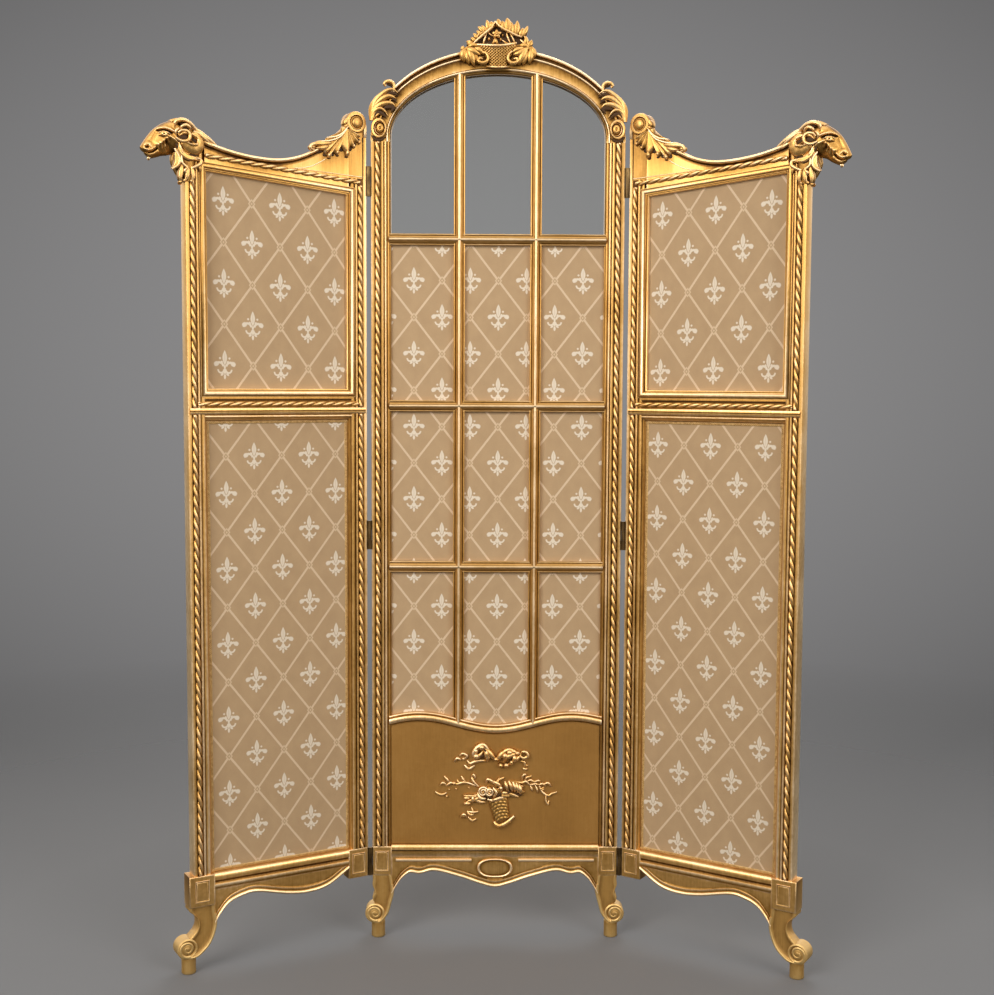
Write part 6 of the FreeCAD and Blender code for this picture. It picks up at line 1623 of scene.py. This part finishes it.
    # ribbon folds: line, width, rise
    for line, width, lift in (
        ([(-1, 375), (-14, 390), (-27, 402)], 13, 9), ([(-22, 404), (-36, 399), (-43, 385)], 12, 10),
        ([(-42, 380), (-31, 384), (-24, 395)], 9, 8), ([(-16, 371), (-17, 383), (-24, 395)], 11, 9),
        ([(4, 374), (15, 387), (30, 394)], 13, 9), ([(17, 374), (30, 383), (45, 388)], 13, 10),
        ([(28, 393), (40, 390), (47, 380)], 10, 9), ([(31, 367), (42, 374), (51, 382)], 10, 8),
    ):
        forms.append(petal(line, 5, width, lift, sink=3.2, groove=0.0))
    # rounded forms: x, z, depth, half width, half height, rise
    for x, z, y, wide, tall, lift in (
        (-40, 392, -1, 5.0, 5.5, 5.5), (-28, 399.5, -1, 6.0, 5, 5.5), (-39, 381, -1, 6.5, 6.0, 6),
        (-18, 386, -1.5, 5.0, 8, 5.5), (20, 382, -2, 6, 6, 5.5), (29, 389, -2, 6, 5, 5),
        (39, 376, -1, 5, 7.5, 5.5), (45, 388, -1, 5, 4, 5), (33, 368, 0, 4, 5, 5), (-58, 293, 4, 7, 4, 5),
        (-57, 282, 4, 8, 4.4, 6), (-46, 291, 3, 4, 7, 6), (-39, 382, 6, 5, 7, 8), (-31, 398, 6, 6, 4, 6),
        (-17, 386, 6, 4, 6, 7), (2, 374, 7, 7, 5.5, 9), (11, 362, 5, 6.0, 5.4, 9.5),
        (22.5, 362, 5, 6.6, 6.0, 10), (27, 385, 7, 7, 5.5, 9), (43, 379, 7, 5, 4.6, 8),
        (-65, 374, 7, 3.4, 3.4, 4), (-25, 307, 6, 10, 10, 7), (-12, 308, 6, 7, 10, 8), (6, 305, 7, 12, 10, 6),
        (36, 316, 7, 18, 13, 4), (-84, 323, 7, 4.2, 3.6, 4.5), (-99, 296, 7.5, 3.4, 2.8, 4),
        (-94, 310, 7.5, 2.2, 2.0, 3), (-80, 311, 7.5, 2.2, 2.0, 3), (-54, 314, 7.5, 2.4, 2.0, 3),
        (-55, 324, 7.5, 3.4, 3.0, 4), (-64, 254, 7.5, 4.6, 4.0, 5), (98, 314, 7.5, 3.4, 3.0, 4),
        (74, 310, 7.5, 2.2, 2.2, 3), (86, 306, 7.5, 2.2, 2.4, 3), (57, 317, 7, 2.6, 2.4, 4),
    ):
        forms.append(button(x, z, y, wide, tall, lift, sides=16, sink=ground - y))
    # the roses' spirals
    for x, z, size, start in ((-25, 307, 10.0, 0.4), (-11.5, 307, 9.0, 2.4)):
        forms.append(scroll(x, z, 0, size, 1.9, start, 2.4, count=50, proud=2.5))
    return gathered(forms)


SIDE_RAIL_BEADS = [
    (29.0, 0.0), (27.4, -1.6), (24.4, -2.0), (21.8, -1.6), (20.6, 0.2), (19.6, 1.4), (17.4, 2.0), (15.0, 1.4),
    (13.8, 0.0), (9.5, -0.2), (6.5, 0.0), (3.0, 0.8), (1.2, 2.4), (0.4, 4.4),
]
# a flower's place on the upper and the lower cloth of each side leaf
FLOWERS = {"left": ((180.4, 1320.7), (236.5, 997.5)), "right": ((183.8, 1318.8), (181.0, 1019.0))}
HEAD_TURN = {"left": 0.13, "right": 0.0}
cloth_start, cloth_end = SIDE_SIGHT + SLIP, OUTER_SIGHT - SLIP
for leaf in SIDE_LEAVES:
    upright = side_stile(SIDE_EDGE, 1, HEAD_FOOT) + stile_head()
    # the hinge stile takes a little painted shade over the whole piece
    piece(f"{leaf}_hinge_upright", leaf, upright, gilt, f"{leaf}_inner_stile", painted_brightness=-0.05)
    upright = side_stile(OUTER_EDGE, -1, OUTER_STILE_TOP)
    # the outer stile takes painted light over the whole piece
    piece(f"{leaf}_outer_upright", leaf, upright, gilt, f"{leaf}_outer_stile", painted_brightness=0.13)
    piece(f"{leaf}_crest_board", leaf, crest_board() + board_lines(), gilt, f"{leaf}_crest_rail")
    piece(f"{leaf}_banded_rail", leaf, mid_rail(), gilt, f"{leaf}_mid_rail")
    piece(f"{leaf}_panel_moulding", leaf, panel_moulding(), gilt, f"{leaf}_panel_frame", sharp=60)
    piece(f"{leaf}_gimp_border", leaf, gimp_border(), gimp, f"{leaf}_gimp", slot="gimp_braid", sharp=80)
    piece(f"{leaf}_ropes", leaf, side_ropes(PLACES[leaf][0]), gilt, f"{leaf}_rope_beads")
    rail = bottom_rail(INNER_BLOCK, OUTER_BLOCK, SIDE_RAIL_FOOT, STILE_FOOT, SIDE_RAIL_BEADS)
    piece(f"{leaf}_foot_rail", leaf, rail, gilt, f"{leaf}_bottom_rail")
    # the apron takes painted light over the whole piece
    piece(f"{leaf}_shaped_apron", leaf, side_apron(), gilt, f"{leaf}_apron", painted_brightness=0.12)
    middle = (OUTER_BLOCK + OUTER_BLOCK_END) / 2
    blocks = [corner_block(SIDE_EDGE + ARRIS, INNER_BLOCK, 0.0, THICK, SIDE_EDGE + 21.5),
              corner_block(OUTER_BLOCK, OUTER_BLOCK_END, -4.0, THICK + 4.0, middle)]
    piece(f"{leaf}_corner_blocks", leaf, gathered(blocks), gilt, f"{leaf}_blocks")
    leg = scroll_leg(OUTER_BLOCK, OUTER_BLOCK_END, roll_x=383.8, waist=361.3)
    piece(f"{leaf}_scroll_leg", leaf, leg, shaded_leg_gilt, f"{leaf}_leg")
    piece(f"{leaf}_turned_peg", leaf, foot_peg(377.8), shaded_leg_gilt, f"{leaf}_foot_peg")
    acanthus = cleared(crest_volute() + crest_leaf(), 0.0)
    piece(f"{leaf}_crest_volute", leaf, acanthus, gilt, f"{leaf}_crest_acanthus")
    piece(f"{leaf}_crest_leaf_hollows", leaf, cleared(crest_leaf_hollows(), 0.0), shaded_gilt)
    piece(f"{leaf}_rams_head", leaf, lifted(ram_head(), HEAD_TURN[leaf]), gilt, f"{leaf}_ram_head")
    piece(f"{leaf}_head_hollows", leaf, lifted(head_hollows(), HEAD_TURN[leaf]), shaded_gilt)
    upper_flower, lower_flower = FLOWERS[leaf]
    form, uv = draped_panel(level(MID_TOP + SLIP), lambda x: top_line(x, -SLIP), cloth_start, cloth_end,
                            CLOTH_DEPTH, origin=upper_flower, count=(30, 40), repeat=76.6, slope=0.036)
    upper = piece(f"{leaf}_upper_brocade", leaf, form, cloth, f"{leaf}_upper_fabric", slot="panel_fabric",
                  uv=uv)
    form, uv = draped_panel(level(STILE_FOOT + SLIP), level(MID_FOOT - SLIP), cloth_start, cloth_end,
                            CLOTH_DEPTH, origin=lower_flower, count=(30, 90))
    lower = piece(f"{leaf}_lower_brocade", leaf, form, cloth, f"{leaf}_lower_fabric", slot="panel_fabric",
                  uv=uv)
leaves, hollows = arch_leaf(), springing_bed()
hinge = 1000 * HINGE_X
piece("springing_leaves", "centre", cleared(leaves + other_hand(leaves), hinge), gilt, "arch_acanthus")
piece("springing_hollows", "centre", cleared(hollows + other_hand(hollows), hinge), shaded_gilt)
# the basket takes a little painted shade over the whole piece
piece("crest_flower_basket", "centre", crest_carving(), gilt, "crest_basket", painted_brightness=-0.08)
# the dark plate behind the gable's flowers: painted shade in the gable's hollow, with the brown of toned
# gilding
piece("crest_hollow", "centre", gable_plate(), shaded_gilt)
piece("trophy_hollows", "centre", trophy_hollows(), shaded_gilt)
piece("trophy_carving", "centre", dado_carving(), gilt, "dado_trophy")


# Hinges


def screw_heads(edge, way):
    """Three slotted screws on each hinge plate of an edge: low domes that face along x, each dipped along one
    line across its middle."""
    r, a = np.linspace(0.05, 1, 8)[:, None], circle(20)[None, :]
    radius, depth = 3.2, 15
    across, up = radius * r * np.cos(a), radius * r * np.sin(a)
    heads = []
    for height in HINGE_HEIGHTS:
        for step, turn in ((-20, 0.4), (0, 1.9), (20, 1.1)):
            slot = np.exp(-((across * math.cos(turn) + up * math.sin(turn)) / 0.5) ** 2)
            rise = 0.9 * np.sqrt(1.06 - r ** 2) - 0.5 * slot
            face = xyz(edge + way * rise, depth + across, height + step + up)
            base = xyz(edge - way * 0.8, face[-1:, :, 1], face[-1:, :, 2])
            heads.append(capped(np.concatenate((face, base))))
    return gathered(heads)


screws = screw_heads(HALF_WIDTH, 1) + screw_heads(-HALF_WIDTH, -1)
piece("centre_hinge_screws", "centre", screws, brass, slot="hinge_brass")
for leaf in SIDE_LEAVES:
    piece(f"{leaf}_hinge_screws", leaf, screw_heads(SIDE_EDGE, -1), brass, slot="hinge_brass")
paint_depth_shading()


# Frame nodes that keep their shape and take a finish


def finish_node(name, finish):
    """Gives a frame node its finish in every slot."""
    for slot in frame["nodes"][name].material_slots:
        slot.material = finish


for node in ("centre_hinge_leaves", "hinge_pins", "left_hinge_leaves", "right_hinge_leaves"):
    finish_node(node, brass)
for node in ("centre_backing", "left_backings", "right_backings"):
    finish_node(node, cover)
finish_node("glass_panes", clear)
finish_node("dado_panel", dull_gilt)


# Stage


def stage_floor():
    """A wide grey floor that fades into the backdrop away from the screen and throws little light back."""
    mesh = bpy.data.meshes.new("floor")
    mesh.from_pydata([(-9, -9, 0), (9, -9, 0), (9, 9, 0), (-9, 9, 0)], [], [[0, 1, 2, 3]])
    floor = bpy.data.objects.new("floor", mesh)
    scene.collection.objects.link(floor)
    made, tree, shader = new_material("studio_floor")
    seen = Wire(tree.nodes.new("ShaderNodeLightPath").outputs["Is Camera Ray"])
    colour = ramp(tree, seen, [(0.0, (0.07, 0.07, 0.07)), (1.0, (0.178, 0.176, 0.177))])
    give(shader, "Base Color", colour)
    give(shader, "Roughness", 0.9)
    split = tree.nodes.new("ShaderNodeSeparateXYZ")
    give(split, 0, object_place(tree))
    x, y = Wire(split.outputs["X"]), Wire(split.outputs["Y"])
    away = (x * x + y * y).step("SQRT")
    fade = ((away - 1.1) / 2.2).step("MULTIPLY", 1.0, clamp=True)
    clear_floor = tree.nodes.new("ShaderNodeBsdfTransparent")
    mix = tree.nodes.new("ShaderNodeMixShader")
    give(mix, "Fac", fade)
    give(mix, 1, shader.outputs[0])
    give(mix, 2, clear_floor.outputs[0])
    give(tree.nodes["Material Output"], "Surface", mix.outputs[0])
    mesh.materials.append(made)


def lamp(name, place, aim, size, power, tint=(1, 1, 1)):
    """A soft square lamp pointed at a place."""
    light = bpy.data.lights.new(name, "AREA")
    light.shape = "SQUARE"
    light.size = size
    light.energy = power
    light.color = tint
    made = bpy.data.objects.new(name, light)
    from_to = np.asarray(aim, float) - np.asarray(place, float)
    made.location = place
    made.rotation_euler = (math.atan2(math.hypot(from_to[0], from_to[1]), -from_to[2]), 0,
                           math.atan2(from_to[1], from_to[0]) - math.pi / 2)
    made.visible_camera = made.visible_transmission = False
    scene.collection.objects.link(made)


def studio_world():
    """Soft light from all round, a grey backdrop for the camera and through glass that darkens with the
    square of the distance from its middle, and for the gilding's shine a bright upper room over a dark
    lower one."""
    world = bpy.data.worlds.new("studio")
    scene.world = world
    world.use_nodes = True
    tree = world.node_tree
    tree.nodes.clear()
    path = tree.nodes.new("ShaderNodeLightPath")
    seen = Wire(path.outputs["Is Camera Ray"]).most(Wire(path.outputs["Is Transmission Ray"]))
    soft = tree.nodes.new("ShaderNodeBackground")
    give(soft, "Color", (1, 0.985, 0.96, 1))
    give(soft, "Strength", 0.36)
    split = tree.nodes.new("ShaderNodeSeparateXYZ")
    give(split, 0, tree.nodes.new("ShaderNodeTexCoord").outputs["Generated"])
    drop = tree.nodes.new("ShaderNodeBackground")
    give(drop, "Color", (1.0, 0.985, 0.99, 1))
    off = Wire(split.outputs["Z"]) - 0.023
    aside = Wire(split.outputs["X"])
    grey = (off * off * -1.21 + aside * aside * -0.49 + 0.262).most(0.13)
    give(drop, "Strength", grey)
    rise = ((Wire(split.outputs["Z"]) + 0.07) / 0.25).step("MULTIPLY", 1.0, clamp=True)
    shine = tree.nodes.new("ShaderNodeBackground")
    give(shine, "Color", (1, 0.985, 0.96, 1))
    give(shine, "Strength", rise * 1.6 + 0.01)
    out = tree.nodes.new("ShaderNodeOutputWorld")
    first = soft
    for share, second in ((Wire(path.outputs["Is Glossy Ray"]), shine), (seen, drop)):
        mix = tree.nodes.new("ShaderNodeMixShader")
        give(mix, "Fac", share)
        give(mix, 1, first.outputs[0])
        give(mix, 2, second.outputs[0])
        first = mix
    give(out, "Surface", first.outputs[0])


def photo_camera():
    """The camera at the photograph's place, turn and lens, whose length and width are in pixels."""
    eye, focal, width = (-0.0304, HINGE_Y - 2.7968, 1.1388), 1397.6, 994
    turn, dip, lean = math.radians(0.64), math.radians(4.67), math.radians(-0.27)
    right = np.array([math.cos(turn), -math.sin(turn), 0])
    ahead = np.array([math.sin(turn), math.cos(turn), 0])
    forward = math.cos(dip) * ahead - math.sin(dip) * np.array([0, 0, 1])
    up = math.sin(dip) * ahead + math.cos(dip) * np.array([0, 0, 1])
    right, up = math.cos(lean) * right - math.sin(lean) * up, math.sin(lean) * right + math.cos(lean) * up
    data = bpy.data.cameras.new("camera")
    data.sensor_fit = "HORIZONTAL"
    data.sensor_width = 36
    data.lens = data.sensor_width * focal / width
    made = bpy.data.objects.new("camera", data)
    matrix = np.eye(4)
    matrix[:3] = np.stack((right, up, -forward, eye), -1)
    made.matrix_world = Matrix(matrix.tolist())
    scene.collection.objects.link(made)
    scene.camera = made


stage_floor()
lamp("key_lamp", (-2.2, -3.0, 2.7), aim=(0, 0, 1.3), size=2.2, power=110, tint=(1, 0.985, 0.96))
lamp("fill_lamp", (2.5, -2.8, 2.2), aim=(0, 0, 1.3), size=2.0, power=58)
lamp("top_lamp", (0.2, 0.3, 4.0), aim=(0, 0, 1.0), size=1.8, power=14)
lamp("back_lamp", (0.6, 2.6, 4.0), aim=(0, 0, 1.0), size=1.6, power=38)
studio_world()
photo_camera()
scene.view_settings.view_transform = "Standard"
